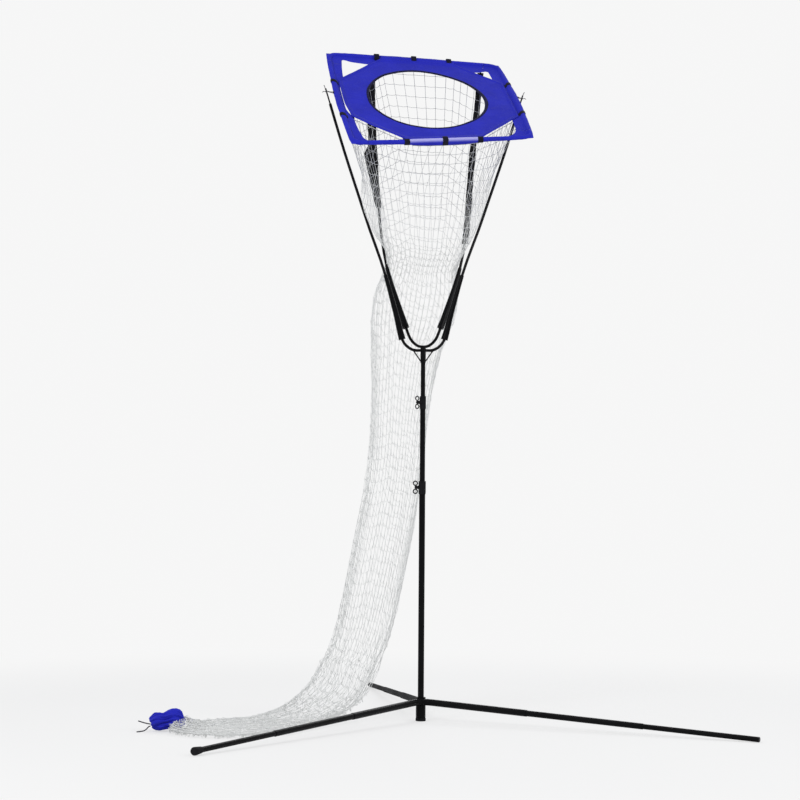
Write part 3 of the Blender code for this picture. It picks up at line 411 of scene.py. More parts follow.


# Painted shade: the net's twine and knots are darker above these heights, in the panel's shade.
NET_SHADE_HEIGHTS = (2.30, 1.72)
NET_TWINE = twine("net_twine", (0.40, 0.41, 0.42), (0.84, 0.85, 0.84), NET_SHADE_HEIGHTS)
NET_KNOT = twine("net_knot", (0.36, 0.37, 0.38), (0.78, 0.79, 0.78), NET_SHADE_HEIGHTS)
DARK_CORD = twine("dark_cord", (0.012, 0.011, 0.018), (0.035, 0.032, 0.050))
BLUE_THREAD = twine("blue_thread", (0.013, 0.017, 0.30), (0.020, 0.026, 0.42))
BLACK_THREAD = twine("black_thread", (0.007, 0.007, 0.008), (0.014, 0.014, 0.016))
print("soft finishes ready")

# %% [markdown]
# ## Measures of the frame
#
# The panel and its sleeves lie in one tilted, slightly twisted plane. The same few
# measures as in the CAD model place every soft piece. The CAD frame has straight sides,
# while stretched cloth bows them and draws the corners about, so `on_frame` turns a place
# across and deep on the cloth into a point in the room, and `true_frame` does it for the
# straight frame, which the rods belong to.

# %% Frame measures
FRAME_WIDTH = 0.696
FRAME_DEPTH = 0.675
FRAME_CENTRE = Vector((0.013, -0.002, 2.364))
FRAME_TWIST = 0.019
SLEEVE_RADIUS = 0.0145
PANEL_EDGE_GAP = 0.006
SIDES = ("front", "right", "rear", "left")
CORNERS = ((-1, -1), (1, -1), (1, 1), (-1, 1))
HALF_SIZE = (FRAME_WIDTH / 2, FRAME_DEPTH / 2)
CORNER_SHIFTS = (
    (0.016, 0.007, 0.0),
    (-0.007, 0.014, 0.003),
    (-0.022, -0.003, 0.011),
    (0.001, -0.014, 0.001),
)
SIDE_BOWS = {"front": 0.010, "right": 0.011, "rear": 0.001, "left": 0.010}

turn = Matrix.Rotation(math.radians(FRAME_YAW), 3, "Z") @ Matrix.Rotation(
    math.radians(FRAME_TILT), 3, "X"
)
ACROSS = turn @ Vector((1, 0, 0))
DEEP = turn @ Vector((0, 1, 0))
LIFT = turn @ Vector((0, 0, 1))
BACKWARDS = Vector((-ACROSS.y, ACROSS.x, 0.0)).normalized()


def true_frame(x, y, lift=0.0):
    """A point of the CAD model's frame, whose sides are straight."""
    twist = -FRAME_TWIST * (x / HALF_SIZE[0]) * (y / HALF_SIZE[1])
    return FRAME_CENTRE + ACROSS * x + DEEP * y + LIFT * lift + Vector((0.0, 0.0, twist))


def on_frame(x, y, lift=0.0):
    """The same on the stretched cloth: the poles bow out and the corners are drawn in."""
    u, v = x / HALF_SIZE[0], y / HALF_SIZE[1]
    x += SIDE_BOWS["right" if u > 0 else "left"] * u * (1 - v * v)
    y += SIDE_BOWS["rear" if v > 0 else "front"] * v * (1 - u * u)
    for (a, b), shift in zip(CORNERS, CORNER_SHIFTS):
        weight = (1 + a * u) * (1 + b * v) / 4
        x += shift[0] * weight
        y += shift[1] * weight
        lift += shift[2] * weight
    return true_frame(x, y, lift)


def side_place(side, share, inset=0.0):
    """Across and deep of a point on a side's middle line."""
    (a, b), (c, d) = CORNERS[SIDES.index(side)], CORNERS[(SIDES.index(side) + 1) % 4]
    wide, deep = HALF_SIZE[0] - inset, HALF_SIZE[1] - inset
    return (a + (c - a) * share) * wide, (b + (d - b) * share) * deep


def side_point(side, share):
    return on_frame(*side_place(side, share))


print("side middles:", [tuple(round(c, 3) for c in side_point(side, 0.5)) for side in SIDES])

# %% [markdown]
# ## Making meshes
#
# Two small helpers make almost every soft piece. `skin` joins rows of points into a
# surface. `cords` lays thin round cords along any number of runs with a bevelled curve,
# which is how Blender makes a tube from a line. The others measure, join or finish them.

# %% Mesh helpers


def circle(count):
    """Cosine and sine at even steps round a circle."""
    angles = [math.tau * step / count for step in range(count)]
    return [(math.cos(angle), math.sin(angle)) for angle in angles]


def length_round(ring):
    """How far it is round a closed ring of points."""
    return sum(math.dist(a, b) for a, b in zip(ring, ring[1:] + ring[:1]))


def keep(name, mesh, finish):
    """Links a mesh as a new object with one finish and smooth shading."""
    item = bpy.data.objects.new(name, mesh)
    bpy.context.scene.collection.objects.link(item)
    mesh.materials.clear()
    mesh.materials.append(finish)
    for face in mesh.polygons:
        face.use_smooth = True
    return item


def skin(name, rows, finish, round_rows=True, round_columns=False, caps=False):
    """A surface through rows of points. Rows close on themselves where round_rows is set."""
    mesh = bpy.data.meshes.new(name)
    bm = bmesh.new()
    grid = [[bm.verts.new(point) for point in row] for row in rows]
    pairs = list(zip(grid, grid[1:]))
    if round_columns:
        pairs.append((grid[-1], grid[0]))
    count = len(grid[0])
    for low, high in pairs:
        for index in range(count if round_rows else count - 1):
            after = (index + 1) % count
            bm.faces.new((low[index], low[after], high[after], high[index]))
    if caps:
        bm.faces.new(grid[0])
        bm.faces.new(grid[-1])
    bmesh.ops.recalc_face_normals(bm, faces=bm.faces)
    bm.to_mesh(mesh)
    bm.free()
    return keep(name, mesh, finish)


def shaped(item, kind, **settings):
    """Works one modifier into an object's mesh for good."""
    modifier = item.modifiers.new("shape", kind)
    for setting, value in settings.items():
        setattr(modifier, setting, value)
    graph = bpy.context.evaluated_depsgraph_get()
    made = bpy.data.meshes.new_from_object(item.evaluated_get(graph))
    old = item.data
    item.modifiers.clear()
    item.data = made
    bpy.data.meshes.remove(old)


def cords(name, runs, radius, finish, closed=False, fine=0):
    """Round cords along runs of points, all in one mesh. closed is one flag or one per run."""
    curve = bpy.data.curves.new(name, "CURVE")
    curve.dimensions = "3D"
    curve.bevel_depth = radius
    curve.bevel_resolution = fine
    curve.use_fill_caps = True
    for number, run in enumerate(runs):
        spline = curve.splines.new("POLY")
        spline.points.add(len(run) - 1)
        for point, place in zip(spline.points, run):
            point.co = (*place, 1.0)
        spline.use_cyclic_u = closed if isinstance(closed, bool) else closed[number]
    draft = bpy.data.objects.new(name + "_line", curve)
    bpy.context.scene.collection.objects.link(draft)
    graph = bpy.context.evaluated_depsgraph_get()
    mesh = bpy.data.meshes.new_from_object(draft.evaluated_get(graph))
    mesh.name = name
    bpy.data.objects.remove(draft)
    bpy.data.curves.remove(curve)
    return keep(name, mesh, finish)


def joined(name, items):
    """One object of several, with all their finishes kept."""
    mesh = bpy.data.meshes.new(name)
    bm = bmesh.new()
    finishes = []
    for item in items:
        before = len(bm.faces)
        bm.from_mesh(item.data)
        bm.faces.ensure_lookup_table()
        slots = []
        for material in item.data.materials:
            if material not in finishes:
                finishes.append(material)
            slots.append(finishes.index(material))
        for face in bm.faces[before:]:
            face.material_index = slots[face.material_index]
    bm.to_mesh(mesh)
    bm.free()
    for material in finishes:
        mesh.materials.append(material)
    for item in items:
        old = item.data
        bpy.data.objects.remove(item)
        bpy.data.meshes.remove(old)
    whole = bpy.data.objects.new(name, mesh)
    bpy.context.scene.collection.objects.link(whole)
    return whole


print("mesh helpers ready")

# %% [markdown]
# ### Smooth runs
#
# A rod, a strand of the net and a cord are each known by a few points. A curve through
# them bends smoothly, but its points aren't evenly spaced. `Run` can be read by its length
# instead, for everything that follows a rod or hangs down.

# %% Smooth runs
HEADING_REACH = 0.004


def smooth_run(points, per_span=10):
    """A dense, smooth run through a few points."""
    points = [Vector(p) for p in points]
    ends = [2 * points[0] - points[1], *points, 2 * points[-1] - points[-2]]
    run = []
    for a, b, c, d in zip(ends, ends[1:], ends[2:], ends[3:]):
        for step in range(per_span):
            t = step / per_span
            bend = 2 * a - 5 * b + 4 * c - d
            twist = 3 * b - a - 3 * c + d
            run.append(0.5 * (2 * b + (c - a) * t + bend * t * t + twist * t**3))
    run.append(points[-1])
    return run


def span_at(marks, distance):
    """Which span between marks a distance falls in, and how far along it."""
    low = bisect.bisect_right(marks, distance, 1, len(marks) - 1) - 1
    return low, (distance - marks[low]) / max(marks[low + 1] - marks[low], 1e-9)


class Run:
    """A smooth run that can be read by its length."""

    def __init__(self, points, per_span=10):
        self.points = smooth_run(points, per_span)
        self.marks = [0.0]
        for a, b in zip(self.points, self.points[1:]):
            self.marks.append(self.marks[-1] + (b - a).length)
        self.length = self.marks[-1]

    def at(self, distance):
        low, share = span_at(self.marks, min(max(distance, 0.0), self.length))
        return self.points[low].lerp(self.points[low + 1], share)

    def heading(self, distance):
        ahead, behind = self.at(distance + HEADING_REACH), self.at(distance - HEADING_REACH)
        return (ahead - behind).normalized()

    def points_every(self, step):
        count = max(1, round(self.length / step))
        return [self.at(self.length * i / count) for i in range(count + 1)]


print("smooth runs ready")

# %% [markdown]
# ## Blue sleeves
#
# Each sleeve is a cloth tube, drawn over a slim plastic pole. Along the middle of a side
# it is narrow, and on three sides the pull of the straps flattens it. Towards a corner its
# inner half spreads into a flat pocket, and there the two sides' cloth meets in a soft
# fillet. It could be a round pipe with a bump map, but the outline would give it away, so
# the pocket and the folds are real shape. The first step is to find one's way along a
# side, and to know where the straps hold it.

# %% Places on the sleeves
STRAPS = {
    "front": (0.297, 0.509, 0.708),
    "right": (0.330, 0.734),
    "rear": (0.293, 0.501, 0.721),
    "left": (0.316, 0.694),
}


def smooth(value):
    """A smooth step from nothing at 0 to one at 1."""
    value = min(max(value, 0.0), 1.0)
    return value * value * (3 - 2 * value)


def near(distance, reach):
    """One at no distance, falling smoothly to nothing."""
    return math.exp(-((distance / reach) ** 2))


def side_length(index):
    return FRAME_WIDTH if index % 2 == 0 else FRAME_DEPTH


def flat_corner(index):
    u, v = CORNERS[index % 4]
    return Vector((u * HALF_SIZE[0], v * HALF_SIZE[1]))


def flat_ways(index):
    """Along a side and inwards from it, in the frame's plane."""
    along = (flat_corner(index + 1) - flat_corner(index)).normalized()
    return along, Vector((-along.y, along.x))


print("straps:", sum(len(shares) for shares in STRAPS.values()))

# %% [markdown]
# The sleeve's inner edge lies close to the pole along the middle of a side. In the pockets
# it lies further in, and at the corner it turns in a rounded mitre into the next side's
# edge. The line is worked out flat, in the frame's plane, before the cloth gets a section.

# %% Inner edge of a sleeve
SIDE_REACHES = {
    "front": (0.014, 0.0155, 0.014),
    "right": (0.048, 0.0195, 0.050),
    "rear": (0.053, 0.0140, 0.030),
    "left": (0.050, 0.0190, 0.046),
}
SIDE_GROWTH = {"front": 0.0, "right": 0.0, "rear": 0.024, "left": -0.008}
REACH_FLAT = 0.170
REACH_FADE = 0.095
FILLETS = (0.045, 0.085, 0.012, 0.010)
FILLET_BEND = 0.8
FILLET_LEAD = 0.03
FILLET_START = 0.09


def sleeve_reach(index, place):
    """From the tube's middle to the sleeve's inner edge, at a distance along a side."""
    side = SIDES[index % 4]
    first, slim, last = SIDE_REACHES[side]
    to_end = side_length(index) - place
    base, gone = (first, place) if place < to_end else (last, to_end)
    base += SIDE_GROWTH[side] * smooth(gone / REACH_FLAT)
    return base + (slim - base) * smooth((gone - REACH_FLAT) / REACH_FADE)


def fillet_place(index, at_end, share):
    """A point on the sleeve's inner edge beside a corner. share is 1 in the mitre."""
    other = (index + 1 if at_end else index - 1) % 4
    corner = (index + 1 if at_end else index) % 4
    own = SIDE_REACHES[SIDES[index % 4]][2 if at_end else 0]
    cross = SIDE_REACHES[SIDES[other]][0 if at_end else 2]
    fillet = FILLETS[corner]
    bend = FILLET_BEND * fillet
    start = max(cross + fillet + FILLET_LEAD, FILLET_START)
    straight = start - cross - fillet
    done = share * (straight + bend)
    if done < straight:
        far = sleeve_reach(index % 4, start)
        if at_end:
            far = sleeve_reach(index % 4, side_length(index) - start)
        a, b = start - done, far + (own - far) * done / straight
    else:
        t = 0.5 * (done - straight) / bend
        a = (1 - t) ** 2 * (cross + fillet) + (2 * t * (1 - t) + t * t) * cross
        b = (1 - t * t) * own + t * t * (own + fillet)
    along, inwards = flat_ways(index)
    way = -along if at_end else along
    return flat_corner(corner) + way * a + inwards * b, start


print("sleeve reach along the left side:", [round(sleeve_reach(3, d / 10), 3) for d in range(7)])

# %% [markdown]
# A station is the frame of one ring of cloth: the pole's middle, the way out, the reach
# outside and the inner edge. Along a side the stations stand in a row. In the bend they
# fan out, so one skin goes round the corner and no seam has to be hidden.

# %% Stations of a sleeve
TUBE_BEND = 0.030
SLEEVE_SIZES = {
    "front": (0.0085, 0.0150),
    "right": (0.0105, 0.0125),
    "rear": (0.0115, 0.0130),
    "left": (0.0105, 0.0125),
}
SLIM_FROM = 0.17
SLIM_OVER = 0.12
MITRE_SHARE = 0.62
CORNER_POINT = 0.9


def sleeve_size(index, place):
    """Radius of the round part of the sleeve, at a distance along a side."""
    slim, full = SLEEVE_SIZES[SIDES[index % 4]]
    to_corner = min(place, side_length(index) - place)
    return slim + (full - slim) * smooth((to_corner - SLIM_FROM) / SLIM_OVER)


def side_station(index, place):
    """Pole's middle, way out, outer reach and inner edge at a distance along a side."""
    along, inwards = flat_ways(index)
    origin = flat_corner(index) + along * place
    size = sleeve_size(index, place)
    for at_end, gone in ((False, place), (True, side_length(index) - place)):
        start = fillet_place(index, at_end, 0.0)[1]
        if gone < start:
            share = MITRE_SHARE * (start - gone) / (start - TUBE_BEND)
            return origin, -inwards, size, fillet_place(index, at_end, share)[0]
    return origin, -inwards, size, origin + inwards * sleeve_reach(index, place)


def bend_station(index, turn):
    """The same in the bend at a side's end. turn goes from 0 to 1 round the corner."""
    along, inwards = flat_ways(index)
    middle = flat_corner(index + 1) + (inwards - along) * TUBE_BEND
    angle = turn * math.pi / 2
    out = along * math.sin(angle) - inwards * math.cos(angle)
    size = sleeve_size(index, side_length(index)) * (1 - turn) + sleeve_size(index + 1, 0.0) * turn
    point = (TUBE_BEND + size) / max(math.cos(angle), math.sin(angle)) - TUBE_BEND
    share = MITRE_SHARE + (1 - MITRE_SHARE) * (1 - abs(2 * turn - 1))
    if turn <= 0.5:
        inner = fillet_place(index, True, share)[0]
    else:
        inner = fillet_place((index + 1) % 4, False, share)[0]
    return middle + out * TUBE_BEND, out, size + (point - size) * CORNER_POINT, inner


print("front sleeve radius:", sleeve_size(0, 0.0), "to", sleeve_size(0, FRAME_WIDTH / 2))

# %% [markdown]
# In section a sleeve is half round outside and runs out into flat cloth inside. Slow noise
# makes the cloth uneven, and small waves gather it beside each strap and at a corner.

# %% Section and folds of a sleeve
SLEEVE_TALLS = {"front": 1.0, "right": 0.58, "rear": 0.82, "left": 0.62}
TALL_BLEND = 0.10
FLAT_HALF = 0.0013
FLAT_DROP = 0.0030
ROUND_SHARES = (0.0, 0.22, 0.44, 0.64, 0.80, 0.92, 0.985)
FLAT_SHARES = (0.2, 0.45, 0.7, 0.9, 1.0)
LOOSE_FOLDS = 0.0010
FINE_FOLDS = 0.0006
STRAP_FOLDS = 0.0006
CORNER_FOLDS = 0.0011
LOOSE_FROM_STRAP = 0.03


def sleeve_tall(index, place):
    """Half height over radius: stretched sleeves are flattened. It blends at the corners."""
    index, length = index % 4, side_length(index)
    other = (index + 1) % 4 if place > length / 2 else (index - 1) % 4
    near_end = 1 - smooth(min(place, length - place) / TALL_BLEND)
    own, cross = SLEEVE_TALLS[SIDES[index]], SLEEVE_TALLS[SIDES[other]]
    return own + (cross - own) * 0.5 * near_end


def sleeve_half(x, size, reach, tall):
    """Half the sleeve's height at a place across: round, then flat cloth to its edge."""
    full = size * tall * math.sqrt(max(0.0, 1 - (x / size) ** 2))
    return math.hypot(full, FLAT_HALF * math.sqrt(max(0.08, 1 - (x / reach) ** 6)))


def sleeve_section(size, reach, out_reach, tall):
    """Places towards the panel and up: the inner edge, over the top, round and back below."""
    round_part = min(size, reach)
    across = [round_part * share for share in ROUND_SHARES]
    across += [across[-1] + (reach - across[-1]) * share for share in FLAT_SHARES]
    upper, lower = [], []
    for x in across:
        half = sleeve_half(x, size, reach, tall)
        drop = FLAT_DROP * smooth(x / size - 0.4)
        upper.append((x, half - drop))
        lower.append((x, -half - drop))
    outer = []
    for step in range(1, 14):
        angle = math.pi * step / 14
        x = out_reach * math.sin(angle)
        half = sleeve_half(x, size, out_reach, tall)
        y = 0.0 if step == 7 else math.copysign(half, math.cos(angle))
        outer.append((-x, y))
    return upper[::-1] + outer + lower


def sleeve_fold(index, place, turn):
    """How far soft folds lift the cloth at a place along and round the sleeve."""
    length = side_length(index)
    closest = min(abs(place - share * length) for share in STRAPS[SIDES[index % 4]])
    to_corner = max(0.0, min(place, length - place))
    spot = Vector((place * 17.0, math.cos(turn) * 1.2 + index * 7.0, math.sin(turn) * 1.2))
    loose = LOOSE_FOLDS * noise.noise(spot) + FINE_FOLDS * noise.noise(spot * 3.1)
    held = STRAP_FOLDS * near(closest - 0.017, 0.014) * math.sin(5 * turn + 2.3 * index)
    spot = Vector((place * 60.0, turn * 1.3, index))
    drawn = CORNER_FOLDS * near(to_corner, 0.05) * noise.noise(spot)
    return held + drawn + loose * min(1.0, closest / LOOSE_FROM_STRAP)


print("points round a sleeve:", len(sleeve_section(0.015, 0.050, 0.015, 1.0)))

# %% [markdown]
# The top of the front sleeve's round part, between the outer straps, is painted paler: a painted
# highlight where light falls on the sleeve's top. A colour mixed in by place does that, and needs no
# second piece. The height is taken from the sleeve's own middle line, which is bowed, so the strip
# is even.

# %% Painted highlight on the front sleeve's top
# Painted highlight: the top of the front sleeve's round part is mixed towards this pale lilac.
HIGHLIGHT_COLOUR = (0.385, 0.380, 0.74, 1.0)
HIGHLIGHT_LOW = (-0.0085, 0.0055)
HIGHLIGHT_HIGH = (0.0104, 0.0084)
HIGHLIGHT_ENDS = (-0.138, 0.133)
HIGHLIGHT_FADE = 0.004


def painted_highlight_top(made):
    """Mix a painted highlight colour over the sleeve's top, by height above its middle and place
    along.
    """
    line = [side_point("front", share) for share in (0.25, 0.5, 0.75)]
    spots = [ACROSS.dot(point) for point in line]
    curve = [float(c) for c in np.polyfit(spots, [point.z for point in line], 2)]
    spot = made.along(ACROSS)
    middle = made.maths("MULTIPLY_ADD", spot, curve[0], curve[1])
    middle = made.maths("MULTIPLY_ADD", spot, middle, curve[2])
    height = made.maths("SUBTRACT", made.along((0.0, 0.0, 1.0)), middle)
    first, last = (spots[1] + end for end in HIGHLIGHT_ENDS)
    highlight_mask = 1.0
    for value, start, end in (
        (height, *HIGHLIGHT_LOW),
        (height, *HIGHLIGHT_HIGH),
        (spot, first - HIGHLIGHT_FADE, first),
        (spot, last + HIGHLIGHT_FADE, last),
    ):
        ramp = made.between(value, 0.0, 1.0, start, end, "SMOOTHSTEP")
        highlight_mask = made.maths("MULTIPLY", ramp, highlight_mask)
    base = made.shader.inputs["Base Color"].links[0].from_socket
    mixed = {"Factor": highlight_mask, "A": base, "B": HIGHLIGHT_COLOUR}
    mixed = made.add("ShaderNodeMix", mixed, data_type="RGBA")
    made.set("Base Color", mixed.outputs["Result"])


painted_highlight_top(FRONT_FINISH)
print("front sleeve painted highlight between", HIGHLIGHT_ENDS)

# %% [markdown]
# Each sleeve covers one side and the corner at its end, and stops just short of the next
# sleeve. The pole inside follows the same middle line, bowed as the stretched cloth is.

# %% Build the sleeves
POLE_RADIUS = 0.0045
AXIS_STEP = 0.02
SLEEVE_START = 0.0556
SLEEVE_END = 0.0548
SLEEVE_STEP = 0.0065


def side_axes(side, share):
    """Along the side, towards the panel, and up off it, at one place."""
    ahead, behind = side_point(side, share + AXIS_STEP), side_point(side, share - AXIS_STEP)
    along = (ahead - behind).normalized()
    inwards = LIFT.cross(along).normalized()
    return along, inwards, along.cross(inwards)


def sleeve_rows(index):
    """Rings of points along one side, round its corner and a little up the next side."""
    length = side_length(index)
    straight = length - TUBE_BEND - SLEEVE_START
    count = round(straight / SLEEVE_STEP)
    stations = []
    for step in range(count + 1):
        place = SLEEVE_START + straight * step / count
        stations.append((index, place, side_station(index, place)))
    for step in range(1, 12):
        stations.append((index, length - 0.01, bend_station(index, step / 12)))
    after = (index + 1) % 4
    for step in range(6):
        place = TUBE_BEND + (SLEEVE_END - TUBE_BEND) * step / 5
        stations.append((after, place, side_station(after, place)))
    rows, middles = [], []
    for side, place, (origin, out, out_reach, inner) in stations:
        reach = (inner - origin).length
        way = (inner - origin) / reach
        size, tall = sleeve_size(side, place), sleeve_tall(side, place)
        section = sleeve_section(size, reach, out_reach, tall)
        ring = []
        for number, (x, y) in enumerate(section):
            fold = sleeve_fold(side, place, math.tau * number / len(section))
            spot = origin + (way * x if x >= 0 else -out * x)
            if x < 0:
                spot += out * fold * 0.7
            ring.append(on_frame(spot.x, spot.y, y + math.copysign(fold, y)))
        rows.append(ring)
        middles.append(on_frame(origin.x, origin.y))
    return rows, middles


for index, side in enumerate(SIDES):
    rows, middles = sleeve_rows(index)
    cloth = FRONT_FINISH.material if side == "front" else BLUE_CLOTH
    sleeve = skin(f"sleeve_{side}", rows, cloth, caps=True)
    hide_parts(f"frame_sleeve_{side}")
    pole = cords(f"frame_pole_{side}", [middles], POLE_RADIUS, TUBE_PLASTIC, fine=1)
    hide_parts(f"frame_tube_{side}")
    for item in (sleeve, pole):
        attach(item, "head")
    print("sleeve", side, len(sleeve.data.polygons), "faces")

# %% [markdown]
# ## The panel
#
# The panel is one sheet of the same cloth with its corners cut away and a round hole. Its
# outer edge is folded over and sewn, and a dark tape binds the hole. At the rear it laps
# up over the sleeve. Polar rows round the hole follow both edges, which a plain grid
# couldn't do.

# %% Panel outline
EDGE = SLEEVE_RADIUS + PANEL_EDGE_GAP
PANEL_INSETS = {"front": EDGE, "right": 0.0190, "rear": EDGE, "left": 0.0195}
PANEL_CORNER_CUTS = (0.187, 0.168, 0.150, 0.177)
LEFT_DRAWN_IN = 0.011
CORNER_CLEAR = 0.010


def panel_reach(turn):
    """How far the panel's edge lies from its middle, at one angle."""
    c, s = math.cos(turn), math.sin(turn)
    corner = CORNERS.index((1 if c > 0 else -1, 1 if s > 0 else -1))
    wide = HALF_SIZE[0] - PANEL_INSETS["right" if c > 0 else "left"]
    deep = HALF_SIZE[1] - EDGE
    if c < 0:
        # The left edge draws in towards the front corner.
        wide -= LEFT_DRAWN_IN * smooth(-(s / max(abs(c), 1e-6)) * 2.2 - 0.05)
    cut = (sum(HALF_SIZE) - 2 * EDGE - PANEL_CORNER_CUTS[corner]) / (abs(c) + abs(s))
    return min(wide / max(abs(c), 1e-6), deep / max(abs(s), 1e-6), cut)


def outline_corner(low, high):
    """The angle between two others at which the outline turns, where it bulges most."""
    a, b = (Vector((math.cos(t), math.sin(t))) * panel_reach(t) for t in (low, high))
    chord = (b - a).normalized()

    def bulge(turn):
        spot = Vector((math.cos(turn), math.sin(turn))) * panel_reach(turn) - a
        return chord.y * spot.x - chord.x * spot.y

    steps = [low + (high - low) * i / 400 for i in range(401)]
    return max(steps, key=bulge)


def panel_angles(count=196):
    """Even steps round the hole, with the corners of the outline among them."""
    lows = [math.radians(45 * index) for index in range(8)]
    corners = [outline_corner(low, low + math.pi / 4) % math.tau for low in lows]
    even = [math.tau * i / count for i in range(count)]
    clear = [a for a in even if min(abs(a - b) for b in corners) > CORNER_CLEAR]
    return sorted(clear + corners)


print("panel outline at", len(panel_angles()), "angles")

# %% [markdown]
# Between the straps the cloth is slack and dips by a millimetre or two, and it is drawn
# flat at each strap. Along the rear its edge climbs the sleeve. All of that is a height
# over the frame's plane, which any point of the panel or of its stitching can ask for.

# %% Panel relief
HOLE_MIDDLE = -0.0035
HOLE_WIDE = 0.2225
HOLE_DEEP = 0.2345
PULL_REACH = 0.055
PANEL_RISE = 0.0006
PANEL_SAG = 0.0012
PANEL_SWELL = 0.0018
PANEL_CREASES = 0.0007
LAP_FADE = 0.025
REAR_LAP = (
    (0.0300, 0.0016),
    (0.0235, 0.0040),
    (0.0175, 0.0062),
    (0.0130, 0.0085),
    (0.0085, 0.0108),
    (0.0048, 0.0124),
)


def strap_spots():
    """Where each strap holds the panel, across and deep."""
    spots = []
    for index, side in enumerate(SIDES):
        along, inwards = flat_ways(index)
        for share in STRAPS[side]:
            spot = flat_corner(index) + along * share * side_length(index)
            spots.append(spot + inwards * (EDGE + 0.02))
    return spots


SPOTS = strap_spots()


def panel_lift(x, y, edge_share):
    """Height of the slack cloth: it dips between the straps and lies flat at them."""
    pull = sum(near(math.hypot(x - a, y - b), PULL_REACH) for a, b in SPOTS)
    sag = -PANEL_SAG * edge_share * max(0.0, 1.0 - pull)
    swell = PANEL_SWELL * noise.noise(Vector((x * 9.0, y * 9.0, 0.7)))
    creases = PANEL_CREASES * noise.noise(Vector((x * 30.0, y * 22.0, 3.1)))
    return PANEL_RISE + (sag + swell + creases) * (1.0 - 0.85 * min(1.0, pull))


def rear_lap_share(turn):
    """How much the panel's edge laps up over the rear sleeve at one angle."""
    c, s = math.cos(turn), math.sin(turn)
    deep = HALF_SIZE[1] - EDGE
    if s <= 0 or panel_reach(turn) * s < deep - 0.0005:
        return 0.0
    x = c / s * deep
    left = -(HALF_SIZE[0] - EDGE - PANEL_CORNER_CUTS[3])
    right = HALF_SIZE[0] - EDGE - PANEL_CORNER_CUTS[2]
    return smooth((x - left) / LAP_FADE) * smooth((right - x) / LAP_FADE)


def hole_edge(turn, out=0.0):
    """A point of the hole's oval, or beyond it by out."""
    return HOLE_MIDDLE + (HOLE_WIDE + out) * math.cos(turn), (HOLE_DEEP + out) * math.sin(turn)


print("slack beside the hole:", round(panel_lift(*hole_edge(0.0), 0.0), 4))

# %% [markdown]
# A thickness modifier would make the folded hem as thin as the rest. So each row goes out
# over the top, with the hem a little thicker, and comes back underneath. The tape is a
# flat loop swept round the hole.

# %% Build the panel
HEM = 0.011
HEM_EXTRA = 0.0008
HEM_STEPS = (0.0, 0.06, 0.45, 0.78, 0.94, 1.0)
CLOTH_STEPS = (0.0, 0.05, 0.12, 0.24, 0.38, 0.52, 0.66, 0.80, 0.90)
TAPE = 0.010
TAPE_HALF_THICKNESS = 0.0028
PANEL_HALF_THICKNESS = 0.0011


def panel_rows():
    """Polar rows from the hole to the edge, over the top and back underneath."""
    rows = []
    for turn in panel_angles():
        c, s = math.cos(turn), math.sin(turn)
        edge = panel_reach(turn)
        inner = hole_edge(turn, 0.002)
        lap = rear_lap_share(turn)
        places = []
        for step in CLOTH_STEPS:
            x = inner[0] + (c * (edge - HEM) - inner[0]) * step
            y = inner[1] + (s * (edge - HEM) - inner[1]) * step
            places.append((x, y, panel_lift(x, y, step), PANEL_HALF_THICKNESS))
        for number, step in enumerate(HEM_STEPS):
            r = edge - HEM + HEM * step
            half = PANEL_HALF_THICKNESS + (HEM_EXTRA if 0 < number < 5 else 0.0)
            if number == 5:
                half *= 0.6
            x, y, lift = c * r, s * r, panel_lift(c * r, s * r, 1.0)
            inset, height = REAR_LAP[number]
            y += (HALF_SIZE[1] - inset - y) * lap
            lift += (height - lift) * lap
            places.append((x, y, lift, half))
        top = [on_frame(x, y, lift + half) for x, y, lift, half in places]
        bottom = [on_frame(x, y, lift - half) for x, y, lift, half in places]
        rows.append(top + bottom[::-1])
    return rows


panel = skin("panel_cloth", panel_rows(), BLUE_CLOTH, round_columns=True)


def binding_rows():
    """The tape folded round the hole's edge, a flat loop in section."""
    rows = []
    for turn in panel_angles(200):
        c, s = math.cos(turn), math.sin(turn)
        ring = []
        lift = panel_lift(*hole_edge(turn), 0.0)
        wave = 0.0004 * math.sin(turn * 61.0) + 0.0005 * noise.noise(Vector((c * 8, s * 8, 1.0)))
        # The tape is real all round. On the right of the hole it is drawn half as wide again, and
        # that extra width is painted shade on the hole's inner edge.
        width = TAPE * (1 + 0.5 * near(math.sin(turn / 2), 0.28))
        for flat, rise in circle(12):
            across = math.copysign(abs(flat) ** 0.8, flat)
            x, y = hole_edge(turn, width / 2 + (width / 2 + wave) * across)
            ring.append(on_frame(x, y, lift + TAPE_HALF_THICKNESS * rise))
        rows.append(ring)
    return rows


binding = skin("panel_binding", binding_rows(), NAVY_TAPE, round_columns=True)
print("panel faces:", len(panel.data.polygons))

# %% [markdown]
# ### Stitching
#
# Rows of thread hold the hem and the tape. Each stitch is a short, low bow of thread, and
# hundreds of them go into one mesh. From across a room they're a faint dotted line, but
# close to, they are what makes cloth look sewn.

# %% Stitches
HEM_STITCH_INSETS = (0.0030, 0.0078)
HEM_STITCH_RISE = 0.0020
HEM_THREAD_RADIUS = 0.00033
RIM_STITCH_INSET = 0.0016
RIM_STITCH_RISE = 0.0022
RIM_THREAD_RADIUS = 0.00035


def stitch_row(place_of, length, pitch=0.0042, gap=0.0012, rise=0.0004):
    """Short bows of thread along a line: place_of(distance, lift) gives a point."""
    runs = []
    count = int(length / pitch)
    for number in range(count):
        start = number * pitch + gap / 2
        end = (number + 1) * pitch - gap / 2
        middle = (start + end) / 2
        runs.append([place_of(start, -rise), place_of(middle, rise), place_of(end, -rise)])
    return runs


